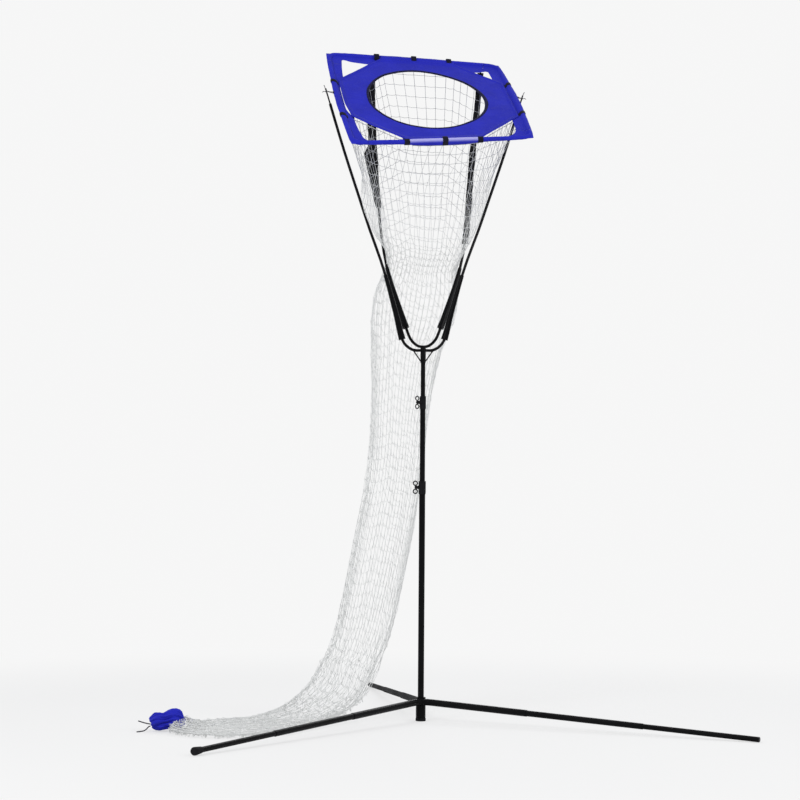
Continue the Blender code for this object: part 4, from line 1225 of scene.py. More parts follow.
def panel_edge_line(inset, top):
    """The panel's outline, moved in from its edge, as a run of points."""
    points = []
    for turn in panel_angles(120):
        c, s = math.cos(turn), math.sin(turn)
        r = panel_reach(turn) - inset
        lap = rear_lap_share(turn)
        place = (HEM - inset) / HEM * (len(REAR_LAP) - 1)
        low = min(int(place), len(REAR_LAP) - 2)
        a, b = REAR_LAP[low], REAR_LAP[low + 1]
        depth, height = (p + (q - p) * (place - low) for p, q in zip(a, b))
        y = s * r + (HALF_SIZE[1] - depth - s * r) * lap
        lift = panel_lift(c * r, s * r, 0.95)
        points.append((c * r, y, lift + (height - lift) * lap + top))
    points.append(points[0])
    return points


def along_flat(points):
    """place_of for a closed run of (x, y, lift) points on the frame."""
    marks = [0.0]
    for a, b in zip(points, points[1:]):
        marks.append(marks[-1] + math.hypot(b[0] - a[0], b[1] - a[1]))

    def place_of(distance, lift):
        low, share = span_at(marks, distance)
        a, b = points[low], points[low + 1]
        x, y, z = (a[i] + (b[i] - a[i]) * share for i in range(3))
        return on_frame(x, y, z + lift)

    return place_of, marks[-1]


stitches = []
for inset in HEM_STITCH_INSETS:
    for top in (HEM_STITCH_RISE, -HEM_STITCH_RISE):
        place_of, length = along_flat(panel_edge_line(inset, top))
        stitches += stitch_row(place_of, length)
hem_thread = cords("panel_stitches", stitches, HEM_THREAD_RADIUS, BLUE_THREAD)
rim = []
for turn in panel_angles(160):
    x, y = hole_edge(turn, TAPE - RIM_STITCH_INSET)
    rim.append((x, y, panel_lift(x, y, 0.0) + RIM_STITCH_RISE))
rim.append(rim[0])
place_of, length = along_flat(rim)
rim_thread = cords("binding_stitches", stitch_row(place_of, length), RIM_THREAD_RADIUS, BLACK_THREAD)

flat_panel = 4 * (HALF_SIZE[0] - EDGE) * (HALF_SIZE[1] - EDGE)
flat_panel -= sum(cut**2 / 2 for cut in PANEL_CORNER_CUTS) + math.pi * HOLE_WIDE * HOLE_DEEP
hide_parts("target_panel")
for item in (panel, binding, hem_thread, rim_thread):
    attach(item, "head")
print("panel area", round(flat_panel, 3), "stitches", len(stitches))

# %% [markdown]
# ## Straps
#
# Ten straps of black webbing hold the panel to the sleeves. Each starts at the panel's
# upper edge, goes round the outside of its sleeve and is sewn under the panel with a box
# of stitches. Flat webbing is best made directly as a bent strip with thickness.

# %% Build the straps
STRAP_WIDTH = 0.020
STRAP_THICKNESS = 0.0014
STRAP_LAP = 0.020
STRAP_PLAY = 0.0003
STRAP_OFF = 0.0011
REAR_STRAP_RISE = 0.0064
STRAP_DRIFT = 0.0004
SEAM_RADIUS = 0.0003
STRAP_TOPS = {"front": 0.0070, "right": 0.0205, "rear": 0.0125, "left": 0.0195}
STRAP_SLANTS = {"front": 0.0, "right": -0.016, "rear": 0.0, "left": 0.016}
LAP_LEVEL = 0.0032
BOX_HALF = (0.0055, 0.0075)
BOX_ROUND = ((-1, -1), (1, -1), (1, 1), (-1, 1), (-1, -1), (1, 1))


def strap_outline(side, place):
    """The strip's line in section, towards the panel and up, from its top to its lap."""
    index = SIDES.index(side)
    size = sleeve_size(index, place) + STRAP_PLAY
    section = sleeve_section(size, sleeve_reach(index, place), size, sleeve_tall(index, place))
    line = []
    for number, (x, y) in enumerate(section):
        over = number <= 12
        if over and x > STRAP_TOPS[side] or number > 30 and x > size * 0.95:
            continue
        off = STRAP_OFF
        if side == "rear" and over:
            off += REAR_STRAP_RISE * smooth(x / 0.006 + 0.9)
        grow = 1 + off / math.hypot(x, y)
        line.append((x * grow, y * grow))
    line += [(EDGE + 0.003, -LAP_LEVEL - 0.0012), (EDGE + STRAP_LAP - 0.010, -LAP_LEVEL)]
    line.append((EDGE + STRAP_LAP, -LAP_LEVEL))
    return line


def build_strap(side, number, share):
    index = SIDES.index(side)
    along, inwards, up = side_axes(side, share)
    origin = side_point(side, share)
    line = strap_outline(side, share * side_length(index))
    rows = []
    for step, (x, y) in enumerate(line):
        row = []
        for column in range(7):
            across = (column / 6 - 0.5) * STRAP_WIDTH
            drift = STRAP_DRIFT * math.sin(step * 0.7 + number * 2.0 + index)
            shrink = 1 - 0.02 * (abs(across) / (STRAP_WIDTH / 2)) ** 4
            slide = STRAP_SLANTS[side] * smooth((x + 0.013) / 0.034)
            spot = origin + along * (across + drift + slide)
            row.append(spot + inwards * x * shrink + up * y * shrink)
        rows.append(row)
    strap = skin(f"strap_loop_{side}_{number}", rows, BLACK_WEBBING, round_rows=False)
    shaped(strap, "SOLIDIFY", thickness=STRAP_THICKNESS, offset=0.0)
    shaped(strap, "BEVEL", width=0.0004, segments=2, limit_method="ANGLE")
    runs = []
    middle = EDGE + STRAP_LAP / 2 + 0.003
    box = [Vector((middle + a * BOX_HALF[0], b * BOX_HALF[1])) for a, b in BOX_ROUND]
    for start, end in zip(box, box[1:]):

        def place_of(distance, lift, start=start, end=end):
            spot = start.lerp(end, distance / (end - start).length)
            height = LAP_LEVEL + STRAP_THICKNESS / 2 + 0.0001 + lift
            beside = along * (spot.y + STRAP_SLANTS[side])
            return origin + inwards * spot.x + beside - up * height

        runs += stitch_row(place_of, (end - start).length, 0.0032, 0.001, 0.0003)
    thread = cords(f"strap_thread_{side}_{number}", runs, SEAM_RADIUS, BLACK_THREAD)
    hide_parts(f"strap_{side}_{number}")
    length = sum(math.dist(a, b) for a, b in zip(line, line[1:]))
    for item in (strap, thread):
        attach(item, "head")
    return length


for side, shares in STRAPS.items():
    made = [build_strap(side, number, share) for number, share in enumerate(shares, start=1)]
    print("straps", side, [round(length, 3) for length in made])

# %% [markdown]
# ## Lines of the rods
#
# The rear rods run up through cloth pockets, and the side rods end at ties on the sleeves.
# Both follow the rods of the CAD model, so the same points give their lines here.

# %% Lines of the rods
REAR_ROD_PLACES = {"left": 0.255, "right": 0.879}
REAR_ROD_BOWS = {"left": 0.008, "right": 0.003}
REAR_TIP_BEHIND = {"left": 0.0167, "right": 0.0160}
REAR_TIP_RISE = 0.008
REAR_TIP_STRAIGHT = 0.045
REAR_TIP_LEAN = 0.0015
SIDE_ROD_LEAN = {"left": -0.055, "right": 0.090}
LEAN_FROM = 1.70
LEAN_OVER = 0.70
REAR_ROD_LINE = (
    (0.000, 0.000, 1.421),
    (0.022, 0.018, 1.426),
    (0.048, 0.040, 1.452),
    (0.067, 0.056, 1.499),
    (0.088, 0.074, 1.560),
    (0.107, 0.084, 1.617),
    (0.125, 0.100, 1.674),
    (0.145, 0.122, 1.750),
    (0.166, 0.152, 1.880),
)
SIDE_ROD_LINE = (
    (0.000, 1.408),
    (0.035, 1.408),
    (0.062, 1.423),
    (0.079, 1.446),
    (0.090, 1.486),
    (0.103, 1.540),
    (0.120, 1.602),
    (0.142, 1.680),
    (0.168, 1.760),
    (0.212, 1.880),
    (0.245, 1.979),
    (0.308, 2.169),
    (0.368, 2.365),
    (0.378, 2.398),
)


def rear_path(side):
    sign = -1 if side == "left" else 1
    points = [Vector((sign * x, y, z)) for x, y, z in REAR_ROD_LINE]
    tip = true_frame(*side_place("rear", 1 - REAR_ROD_PLACES[side]))
    tip += BACKWARDS * REAR_TIP_BEHIND[side] + Vector((0.0, 0.0, REAR_TIP_RISE))
    below = tip - Vector((0.0, 0.0, REAR_TIP_STRAIGHT)) - BACKWARDS * REAR_TIP_LEAN
    points.append(points[-1].lerp(below, 0.45) - Vector((REAR_ROD_BOWS[side], 0.0, 0.0)))
    points.append(below)
    points.append(tip)
    return Run(points)


def side_path(side):
    sign = -1 if side == "left" else 1
    points = []
    for reach, height in SIDE_ROD_LINE:
        lean = SIDE_ROD_LEAN[side] * max(0.0, height - LEAN_FROM) / LEAN_OVER
        points.append((sign * reach, lean, height))
    return Run(points)


REAR_PATHS = {side: rear_path(side) for side in ("left", "right")}
SIDE_PATHS = {side: side_path(side) for side in ("left", "right")}
lengths = [round(path.length, 3) for path in (*REAR_PATHS.values(), *SIDE_PATHS.values())]
print("rods along their curves:", lengths)

# %% [markdown]
# ### Pockets
#
# A pocket is a flat tube of black cloth round a rear rod, a little crumpled and sewn down
# both edges. The left one widens as it rises. Rings swept along the rod's line give its
# width and its folds at once, and the rod of the CAD model stays visible at both ends.

# %% Pockets
POCKET_HALF_WIDTHS = {"left": (0.0100, 0.0250), "right": (0.0115, 0.0115)}
POCKET_ENDS = {"left": 0.070, "right": 0.034}
POCKET_LENGTHS = {"left": 0.550, "right": 0.726}
POCKET_FLARE = 0.215
POCKET_NARROWS = 0.262
POCKET_HALF_THICKNESS = 0.0070
POCKET_STEP = 0.006
POCKET_FOLDS = 0.0013
POCKET_CREASES = 0.0007
POCKET_SEAM = 0.0042
POCKET_CLOTH_THICKNESS = 0.0008


def pocket_middle(side, start, distance):
    """Middle and half width of a pocket. The left one widens to the left as it rises."""
    narrow, wide = POCKET_HALF_WIDTHS[side]
    half = narrow + (wide - narrow) * min(1.0, distance / POCKET_FLARE)
    past = (distance - POCKET_FLARE) / (POCKET_NARROWS - POCKET_FLARE)
    half -= (wide - narrow) * 0.58 * smooth(past)
    return REAR_PATHS[side].at(start + distance) - ACROSS * (half - narrow), half


def build_pocket(side):
    """A flat cloth tube round the rod, with puckers and a row of stitches at both edges."""
    end = REAR_PATHS[side].length - POCKET_ENDS[side]
    start = end - POCKET_LENGTHS[side]
    count = int(POCKET_LENGTHS[side] / POCKET_STEP)
    rows = []
    for number in range(count + 1):
        distance = POCKET_LENGTHS[side] * number / count
        middle, half = pocket_middle(side, start, distance)
        half *= 1 + 0.05 * math.sin(distance * 37.0 + 1.0)
        ring = []
        for c, s in circle(24):
            spot = Vector((distance * 22.0, c * 1.1, s * 1.1 + (4.0 if side == "left" else 9.0)))
            fold = POCKET_FOLDS * noise.noise(spot) + POCKET_CREASES * noise.noise(spot * 2.7)
            # Beyond the rod the two faces of the cloth lie almost together.
            off_rod = max(0.0, half * c - 0.010) / 0.012 if half > 0.014 else 0.0
            thin = 1.0 - 0.35 * abs(c) ** 3
            thin *= 1.0 - 0.6 * smooth(-off_rod if c < 0 else off_rod)
            deep = BACKWARDS * (POCKET_HALF_THICKNESS * thin + fold) * s
            ring.append(middle + ACROSS * (half + fold) * c + deep)
        rows.append(ring)
    pocket = skin(f"rod_pocket_{side}", rows, POCKET_CLOTH)
    shaped(pocket, "SOLIDIFY", thickness=POCKET_CLOTH_THICKNESS, offset=-1.0)
    runs = []
    for sign in (-1, 1):

        def place_of(distance, lift, sign=sign):
            middle, half = pocket_middle(side, start, distance)
            out = BACKWARDS * (POCKET_HALF_THICKNESS * 0.83 + lift)
            return middle + ACROSS * (half - POCKET_SEAM) * sign - out

        runs += stitch_row(place_of, POCKET_LENGTHS[side], 0.0046)
    thread = cords(f"rod_pocket_thread_{side}", runs, SEAM_RADIUS, BLACK_THREAD)
    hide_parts(f"pole_sleeve_{side}")
    for item in (pocket, thread):
        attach(item, "head")
    arounds = [length_round(row) for row in rows]
    return pocket


pockets = [build_pocket(side) for side in ("left", "right")]
print("pockets:", [len(p.data.polygons) for p in pockets])

# %% [markdown]
# ### Ties
#
# The side rods end in a thin tip. A short cord is looped over each tip and sewn to the
# sleeve with a small ring, and its two loose ends stand off the tip.

# %% Ties at the side rods' tips
TIE_RADIUS = 0.0013
TIE_LOOP = 0.0046
TIE_RING = 0.0042
TIE_LEGS = ((1, 0.0046, 0.4, 0.0025), (-1, 0.0044, 0.5, 0.0030))
TIE_PLACES = {"left": 0.45, "right": 0.55}
TIE_BELOW_TIP = 0.012
TIE_OFF_SLEEVE = 0.0022
TIE_SPREAD = 0.004
TIE_TAIL = ((-0.0046, 0.0, 0.0), (-0.010, 0.003, 0.0), (-0.016, 0.001, 0.003))
TIE_STEM = ((0.0, 0.0, 0.0046), (0.0, 0.014, 0.0040), (-0.0020, 0.026, 0.0020))


def build_tie(side):
    """A cord looped over the rod's tip and sewn to the sleeve, with a tail and a stem."""
    path = SIDE_PATHS[side]
    tip = path.at(path.length - TIE_BELOW_TIP)
    at = TIE_PLACES[side]
    middle = side_point(side, at)
    along = (side_point(side, at + 0.1) - middle).normalized()
    up_rod = path.heading(path.length - TIE_BELOW_TIP)
    reach = middle - tip
    away = (reach - up_rod * reach.dot(up_rod)).normalized()
    beside = up_rod.cross(away)
    across = (reach - along * reach.dot(along)).normalized()
    sewn = middle - across * (SLEEVE_SIZES[side][1] + TIE_OFF_SLEEVE)

    def near_tip(out, up=0.0, aside=0.0):
        return tip + away * out + up_rod * up + beside * aside

    loop = [tip + (away * c + beside * s) * TIE_LOOP for c, s in circle(12)]
    legs = []
    for sign, start, share, bulge in TIE_LEGS:
        bend = tip.lerp(sewn, share) + beside * sign * bulge
        legs.append(smooth_run([near_tip(start), bend, sewn + along * sign * TIE_SPREAD], 6))
    turned = across.cross(along)
    ring = [sewn + across * 0.0012 + (along * c + turned * s) * TIE_RING for c, s in circle(14)]
    ends = [smooth_run([near_tip(*place) for place in end], 5) for end in (TIE_TAIL, TIE_STEM)]
    runs = [loop, *legs, ring, *ends]
    closed = (True, False, False, True, False, False)
    tie = cords(f"tie_{side}", runs, TIE_RADIUS, DARK_CORD, closed, 1)
    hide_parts(f"side_tie_{side}")
    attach(tie, "head")
    return tie


ties = [build_tie(side) for side in ("left", "right")]
print("ties:", len(ties))

# %% [markdown]
# ## The net
#
# The net is a tube of square mesh, sixty squares round. It hangs just under the four
# sleeves and, where a corner of the frame is open, from the panel's cut edge. In the
# funnel its squares hang open. In the chute the same sixty squares share a third of the
# width, so the upright strands crowd together and the cross strands sag. A picture of a
# net on a plane would be quick, but the knots and the way strands cross need real cords.
#
# The upright strands follow a few key rings from the frame to the floor. Knots sit at even
# steps along each strand, and cross strands join them.

# %% Sections of the net
NET_AROUND = 60
FUNNEL_SECTIONS = (
    (2.000, (-0.245, -0.150), (0.250, -0.120), (0.165, 0.140), (-0.160, 0.130)),
    (1.860, (-0.205, -0.085), (0.205, -0.085), (0.136, 0.108), (-0.136, 0.106)),
    (1.790, (-0.155, -0.020), (0.168, -0.020), (0.122, 0.170), (-0.126, 0.170)),
)
FUNNEL_ROUNDING = (0.04, 0.10, 0.24)
CHUTE_BOXES = (
    (1.540, -0.190, 0.108, 0.122, 0.268),
    (1.408, -0.188, 0.060, 0.115, 0.260),
    (1.200, -0.188, 0.018, 0.100, 0.240),
    (0.960, -0.200, -0.009, 0.085, 0.222),
    (0.720, -0.240, -0.043, 0.070, 0.205),
    (0.380, -0.308, -0.113, 0.028, 0.168),
    (0.255, -0.345, -0.155, -0.005, 0.135),
)
CHUTE_SECTIONS = (
    (1.720, (-0.122, 0.124), (0.120, 0.124), (0.120, 0.258), (-0.168, 0.258)),
    (1.655, (-0.162, 0.126), (0.126, 0.126), (0.126, 0.268), (-0.184, 0.268)),
    *(
        (height, (left, front), (right, front), (right, rear), (left, rear))
        for height, left, right, front, rear in CHUTE_BOXES
    ),
)
OVAL_GROWTH = 1.12


def section_ring(section, rounding):
    """A ring of points round a four-cornered section, drawn towards an oval."""
    height, corners = section[0], section[1:]
    middle = Vector((sum(c[0] for c in corners) / 4, sum(c[1] for c in corners) / 4, height))
    wide = (corners[1][0] + corners[2][0] - corners[0][0] - corners[3][0]) / 4
    deep = (corners[2][1] + corners[3][1] - corners[0][1] - corners[1][1]) / 4
    ring = []
    for number in range(NET_AROUND):
        share = (number + 0.5) / (NET_AROUND / 4)
        side, along = int(share), share - int(share)
        a, b = corners[side], corners[(side + 1) % 4]
        square = Vector((a[0] + (b[0] - a[0]) * along, a[1] + (b[1] - a[1]) * along, height))
        angle = math.radians(-45.0 + 90.0 * share)
        oval = Vector((math.sin(angle) * wide, -math.cos(angle) * deep, 0.0)) * OVAL_GROWTH
        ring.append(square.lerp(middle + oval, rounding))
    return ring


print("sections:", len(FUNNEL_SECTIONS), "in the funnel and", len(CHUTE_SECTIONS), "in the chute")

# %% [markdown]
# Near the floor the net bends over, and its rings stand square to its own line, lower and
# wider as it lies down. At the top, the ring follows the sleeves from just below and cuts
# across each open corner under the panel's edge.

# %% Key rings of the net
CHUTE_END = (-0.250, 0.065, 0.255)
FOOT_STATIONS = (
    ((-0.292, 0.038, 0.168), 0.104, 0.098),
    ((-0.337, -0.010, 0.106), 0.080, 0.112),
    ((-0.418, -0.090, 0.048), 0.044, 0.120),
    ((-0.522, -0.222, 0.021), 0.019, 0.150),
    ((-0.655, -0.362, 0.017), 0.015, 0.212),
    ((-0.775, -0.440, 0.016), 0.014, 0.190),
    ((-0.838, -0.418, 0.021), 0.019, 0.100),
    ((-0.866, -0.374, 0.030), 0.022, 0.024),
)
FOOT_TURN = -92.0
NET_HANG = 0.0042
NET_UNDER_PANEL = 0.0100
NET_INSIDE = 0.002
OPEN_FADE = 0.020


def foot_ring(index):
    """A ring of points round the net where it bends over or lies on the floor."""
    middles = [Vector(CHUTE_END)] + [Vector(s[0]) for s in FOOT_STATIONS]
    middle, tall, wide = FOOT_STATIONS[index]
    way = (middles[min(index + 2, len(middles) - 1)] - middles[index]).normalized()
    across = Vector((-way.y, way.x, 0.0)).normalized()
    up = across.cross(way).normalized()
    ring = []
    for number in range(NET_AROUND):
        angle = math.radians(FOOT_TURN + 360.0 * (number + 0.5) / NET_AROUND)
        ring.append(Vector(middle) + up * tall * math.sin(angle) + across * wide * math.cos(angle))
    return ring


def net_top(share, lower=0.0):
    """A point of the net's top at sides 0 to 4 round, and how far it's from the sleeve."""
    index = int(share) % 4
    at = share - int(share)
    x, y = side_place(SIDES[index], at, NET_INSIDE)
    corner = CORNERS.index((1 if x > 0 else -1, 1 if y > 0 else -1))
    cut = sum(HALF_SIZE) - 2 * EDGE - PANEL_CORNER_CUTS[corner]
    over = max(0.0, (abs(x) + abs(y) - cut) / 2)
    place = at * side_length(index)
    under_sleeve = sleeve_size(index, place) * sleeve_tall(index, place) + NET_HANG
    lift = under_sleeve + (NET_UNDER_PANEL - under_sleeve) * smooth(over / OPEN_FADE)
    x -= math.copysign(over, x)
    y -= math.copysign(over, y)
    return on_frame(x, y, -lift - lower), over


top_ring = [net_top((number + 0.5) / (NET_AROUND / 4))[0] for number in range(NET_AROUND)]
KEY_RINGS = [top_ring]
KEY_RINGS += [section_ring(s, r) for s, r in zip(FUNNEL_SECTIONS, FUNNEL_ROUNDING)]
KEY_RINGS += [section_ring(s, 0.50 + 0.04 * i) for i, s in enumerate(CHUTE_SECTIONS)]
KEY_RINGS += [foot_ring(i) for i in range(len(FOOT_STATIONS))]
print("key rings:", len(KEY_RINGS))

# %% [markdown]
# Straight strands would look like a cage. Each one drifts a little in slow folds that
# grow towards the floor, and each knot is off its place by a millimetre or two. A fixed
# seed makes the same net on every run.

# %% Strands and knots
NET_SQUARE = 0.045
dice = random.Random(11)
LOOSENESS = ((1.85, 0.0015), (1.65, 0.003), (0.3, 0.005), (-1.0, 0.009))


def looseness(height):
    """How much the net's folds move a strand at a height, in metres."""
    return next(swing for lowest, swing in LOOSENESS if height > lowest)


def strand_runs():
    """One smooth run for each upright strand."""
    runs = []
    for number in range(NET_AROUND):
        points = []
        for level, ring in enumerate(KEY_RINGS):
            point = ring[number].copy()
            if 0 < level < len(KEY_RINGS) - 1:
                swing = looseness(point.z)
                centre = sum(ring, Vector()) / NET_AROUND
                out = point - centre
                out.z = 0.0
                lobes = math.sin(number / NET_AROUND * math.tau * 7 + level * 0.8)
                lobes += 0.7 * math.sin(number / NET_AROUND * math.tau * 13 - level * 1.3)
                point += out.normalized() * swing * lobes * 0.6
                point += Vector((dice.gauss(0, 0.3), dice.gauss(0, 0.3), 0.0)) * swing
            point.z = max(point.z, 0.0025)
            points.append(point)
        runs.append(Run(points, 6))
    return runs


STRANDS = strand_runs()
average = sum(run.length for run in STRANDS) / NET_AROUND
NET_ROWS = round(average / NET_SQUARE)
KNOTS = []
for row in range(NET_ROWS + 1):
    ring = []
    for run in STRANDS:
        point = run.at(run.length * row / NET_ROWS)
        swing = looseness(point.z) * (0.0 if row == 0 else 0.22)
        point += Vector((dice.gauss(0, swing), dice.gauss(0, swing), dice.gauss(0, swing)))
        point.z = max(point.z, 0.0020)
        ring.append(point)
    KNOTS.append(ring)
lengths = [run.length for run in STRANDS]
print("rows of squares:", NET_ROWS, "strand", round(min(lengths), 2), "to", round(max(lengths), 2))

# %% [markdown]
# A cross strand between two knots is longer than the way between them where the net is
# crowded. On the floor all of its slack lies in loops. In the hanging chute most of it
# goes into the tilt of the squares, so only a part shows as sag.

# %% Cross strands
LYING = 0.10
FUNNEL_FOOT = 1.86
SAG_SHARE = 0.46
STRAND_RADIUS = 0.0008
KNOT_SIZE = (0.0017, 0.0014, 0.0020, 1.0)


def slack_between(a, b, length, swing):
    """Points between two knots on a strand of that length, without the second knot."""
    span = (b - a).length
    free = max(length * 0.985, span)
    flat = min(a.z, b.z) < LYING
    sag = SAG_SHARE * math.sqrt(max(free * free - span * span, 0.0))
    if not flat:
        sag *= 0.20 + 0.25 * smooth((FUNNEL_FOOT - a.z) / 0.15)
    steps = 4 if sag > 0.004 else 2
    side = (b - a).cross(Vector((0.0, 0.0, 1.0)))
    side = side.normalized() if side.length > 1e-6 else Vector((1.0, 0.0, 0.0))
    fall = Vector((0.0, 0.0, -1.0)) * math.cos(swing) + side * math.sin(swing)
    points = []
    for step in range(steps):
        t = step / steps
        hang = 1 - (2 * t - 1) ** 2
        point = a.lerp(b, t) + fall * sag * hang * (0.8 if flat else 1.0)
        point.z = max(point.z, 0.0016)
        points.append(point)
    return points


def cross_ring(row):
    """One closed cross strand, all the way round the net."""
    ring = KNOTS[row]
    points = []
    for number in range(NET_AROUND):
        a, b = ring[number], ring[(number + 1) % NET_AROUND]
        swing = dice.gauss(0, 0.15)
        if min(a.z, b.z) < LYING:
            swing = dice.uniform(-1.9, 1.9)
        points += slack_between(a, b, NET_SQUARE, swing)
    return points


def upright(number, first, last):
    """One strand between two rows, with a point between knots."""
    points = []
    run = STRANDS[number]
    for row in range(first, last + 1):
        points.append(KNOTS[row][number])
        if row < last:
            between = KNOTS[row][number].lerp(KNOTS[row + 1][number], 0.5)
            middle = between.lerp(run.at(run.length * (row + 0.5) / NET_ROWS), 0.5)
            middle.z = max(middle.z, 0.0018)
            points.append(middle)
    return points


def knot_mesh(name, first, last):
    """A small twenty-sided lump at every knot."""
    mesh = bpy.data.meshes.new(name)
    bm = bmesh.new()
    for row in range(first, last + 1):
        for number in range(NET_AROUND):
            lean = Matrix.Rotation(dice.uniform(0, math.pi), 4, "Z")
            lean = Matrix.Rotation(dice.uniform(-0.5, 0.5), 4, "X") @ lean
            place = Matrix.Translation(KNOTS[row][number]) @ lean @ Matrix.Diagonal(KNOT_SIZE)
            bmesh.ops.create_icosphere(bm, subdivisions=1, radius=1.0, matrix=place)
    bm.to_mesh(mesh)
    bm.free()
    return keep(name, mesh, NET_KNOT)


def net_piece(name, first, last, top_row=True):
    """Strands, cross strands and knots between two rows, as one piece."""
    start = first if top_row else first + 1
    uprights = [upright(number, first, last) for number in range(NET_AROUND)]
    rings = [cross_ring(row) for row in range(start, last + 1)]
    closed = [False] * len(uprights) + [True] * len(rings)
    strands = cords(name + "_strands", uprights + rings, STRAND_RADIUS, NET_TWINE, closed)
    knots = knot_mesh(name + "_knots", start, last)
    return joined(name, [strands, knots])


print("knots:", NET_AROUND * (NET_ROWS + 1))

# %% [markdown]
# The mast slides, and the panel goes up with it, while the net's end stays on the floor. So the net
# is made as three pieces that meet at two rows of knots: one reaches from the head down to the
# middle mast, one from there to the base, and one lies on the floor and rides with the base.

# %% Build the net
HEAD_MEETS = 1.05
FLOOR_MEETS = 0.26


def row_near(height):
    """The row whose knots lie nearest to a height on average."""
    means = [sum(p.z for p in ring) / NET_AROUND for ring in KNOTS]
    return min(range(NET_ROWS + 1), key=lambda row: abs(means[row] - height))


upper_row, lower_row = row_near(HEAD_MEETS), row_near(FLOOR_MEETS)
upper_heights = [p.z for p in KNOTS[upper_row]]
lower_heights = [p.z for p in KNOTS[lower_row]]
for row, heights in ((upper_row, upper_heights), (lower_row, lower_heights)):
    print("pieces meet at row", row, "from", round(min(heights), 2), "to", round(max(heights), 2))

net_head = net_piece("net_funnel_and_chute", 0, upper_row)
net_middle = net_piece("net_lower_chute", upper_row, lower_row, top_row=False)
net_floor = net_piece("net_on_floor", lower_row, NET_ROWS, top_row=False)
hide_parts(*[f"funnel_net_{side}" for side in SIDES], "chute_net_front", "chute_net_rear")
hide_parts("chute_net_left", "chute_net_right")
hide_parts("chute_foot_net")
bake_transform(net_head)
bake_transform(net_middle)
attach(net_floor, "base")
print("net triangles:", sum(2 * len(p.data.polygons) for p in (net_head, net_middle, net_floor)))

# %% [markdown]
# ## The selvedge
#
# Net makers run a thicker cord through the top row, and it carries every upright strand.
# Small loops sew it to the sleeves, except across the open corners.

# %% Selvedge cord
SELVEDGE_RADIUS = 0.0011
SELVEDGE_DROP = 0.0004
LOOP_DROP = 0.0015
SEWING_LOOP = (
    (-0.0035, -0.0010, 0.0),
    (-0.0030, 0.0030, -0.002),
    (0.0, 0.0042, 0.0),
    (0.0030, 0.0030, 0.002),
    (0.0035, -0.0010, 0.0),
)

edge_run = [net_top(step / 24, SELVEDGE_DROP)[0] for step in range(96)]
lashing = []
for number in range(NET_AROUND):
    share = (number + 0.5) / (NET_AROUND / 4)
    low, over = net_top(share, LOOP_DROP)
    if over > 0.0:
        continue
    along, inwards, up = side_axes(SIDES[int(share)], share - int(share))
    lashing.append([low + along * a + up * b + inwards * c for a, b, c in SEWING_LOOP])
closed = [True] + [False] * len(lashing)
selvedge = cords("net_selvedge", [edge_run] + lashing, SELVEDGE_RADIUS, NET_TWINE, closed)
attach(selvedge, "head")
print("selvedge loops:", len(lashing))

# %% [markdown]
# ## The blue end sleeve
#
# The net's far end is gathered into a short blue cloth sleeve with a drawstring. Gathered
# cloth folds in on itself, so the rings that make it ripple in and out between its pleats,
# and the pleats wander, fork and flatten where the cloth lies on the floor.

# %% End sleeve
END_AROUND = 132
END_FULLNESS = 0.88
END_WAVES = (0.10, 0.035, 0.26, 0.08)
END_CLOTH_THICKNESS = 0.0009
END_STATIONS = (
    ((-0.8670, -0.3745, 0.030), 0.020, 0.022),
    ((-0.8745, -0.3778, 0.032), 0.024, 0.026),
    ((-0.882, -0.381, 0.036), 0.037, 0.036),
    ((-0.898, -0.3835, 0.044), 0.041, 0.043),
    ((-0.915, -0.386, 0.042), 0.035, 0.042),
    ((-0.933, -0.388, 0.036), 0.028, 0.038),
    ((-0.950, -0.390, 0.037), 0.036, 0.044),
    ((-0.964, -0.391, 0.035), 0.035, 0.043),
    ((-0.976, -0.392, 0.031), 0.028, 0.034),
    ((-0.984, -0.393, 0.028), 0.018, 0.022),
)


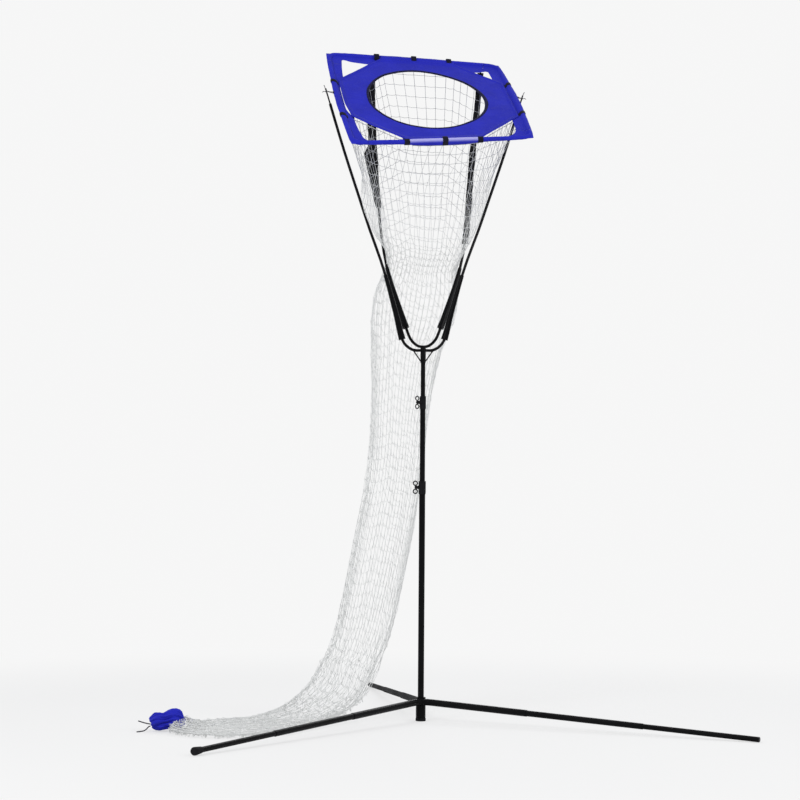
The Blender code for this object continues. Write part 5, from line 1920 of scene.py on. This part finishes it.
def gathered_rows():
    """Rings of the gathered cloth, pleated and crushed, from the net to the open end."""
    rows = []
    middles = [Vector(s[0]) for s in END_STATIONS]
    for index, (middle, tall, wide) in enumerate(END_STATIONS):
        way = middles[min(index + 1, len(middles) - 1)] - middles[max(index - 1, 0)]
        way.normalize()
        across = Vector((-way.y, way.x, 0.0)).normalized()
        up = across.cross(way).normalized()
        if up.z < 0:
            up = -up
        ring = []
        for step in range(END_AROUND):
            angle = math.tau * step / END_AROUND
            spot = Vector((math.cos(angle) * 1.6, math.sin(angle) * 1.6, index * 0.42))
            wander = 0.9 * noise.noise(spot)
            pleat = math.sin(11 * angle + 2.6 * wander + 0.25 * index)
            pleat = math.copysign(abs(pleat) ** 0.7, pleat)
            fine = math.sin(23 * angle + 4.0 * wander - 0.4 * index)
            crush = noise.noise(spot * 1.9 + Vector((3.0, 1.0, 0.0)))
            lobe = math.sin(3 * angle + 0.9 * index)
            waves = zip(END_WAVES, (pleat, fine, crush, lobe))
            ripple = END_FULLNESS + sum(share * wave for share, wave in waves)
            point = Vector(middle) + up * tall * ripple * math.sin(angle)
            point += across * wide * ripple * math.cos(angle)
            point += way * 0.006 * noise.noise(spot * 1.3 + Vector((0.0, 5.0, 2.0)))
            point.z = max(point.z, 0.0014)
            ring.append(point)
        rows.append(ring)
    return rows


end_rows = gathered_rows()
end_sleeve = skin("end_cloth", end_rows, BLUE_CLOTH)
shaped(end_sleeve, "SOLIDIFY", thickness=END_CLOTH_THICKNESS, offset=-1.0)
shaped(end_sleeve, "SUBSURF", levels=1, render_levels=1)
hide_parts("end_sleeve")
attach(end_sleeve, "base")
around_end = round(length_round(end_rows[5]), 3)
print("end sleeve round:", around_end)

# %% [markdown]
# ## Drawstrings
#
# Two ends of one dark cord leave the gathered sleeve. One drops to the floor, and the other is just
# stiff enough to stand off it. Each is a single smooth line with a round bevel, and its length along
# the line is printed.

# %% Drawstrings
DRAWSTRING_RADIUS = 0.0022
DRAWSTRING_STEP = 0.0025
DRAWSTRINGS = {
    "front": (
        (-0.9840, -0.3981, 0.0190),
        (-0.9905, -0.4010, 0.0160),
        (-0.9985, -0.4080, 0.0075),
        (-1.0070, -0.4180, 0.0032),
        (-1.0180, -0.4330, 0.0028),
        (-1.0280, -0.4450, 0.0028),
    ),
    "rear": (
        (-0.9850, -0.3891, 0.0250),
        (-0.9930, -0.3900, 0.0262),
        (-1.0050, -0.3880, 0.0285),
        (-1.0170, -0.3850, 0.0315),
        (-1.0300, -0.3810, 0.0350),
    ),
}


def build_drawstring(end, points):
    run = Run(points)
    line = run.points_every(DRAWSTRING_STEP)
    item = cords(f"drawstring_cord_{end}", [line], DRAWSTRING_RADIUS, DARK_CORD, fine=2)
    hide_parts(f"drawstring_{end}")
    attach(item, "base")
    tuple(line[0])
    [tuple(p) for p in line]
    return run.length


cord_lengths = [build_drawstring(end, points) for end, points in DRAWSTRINGS.items()]
print("drawstrings:", [round(length, 3) for length in cord_lengths])
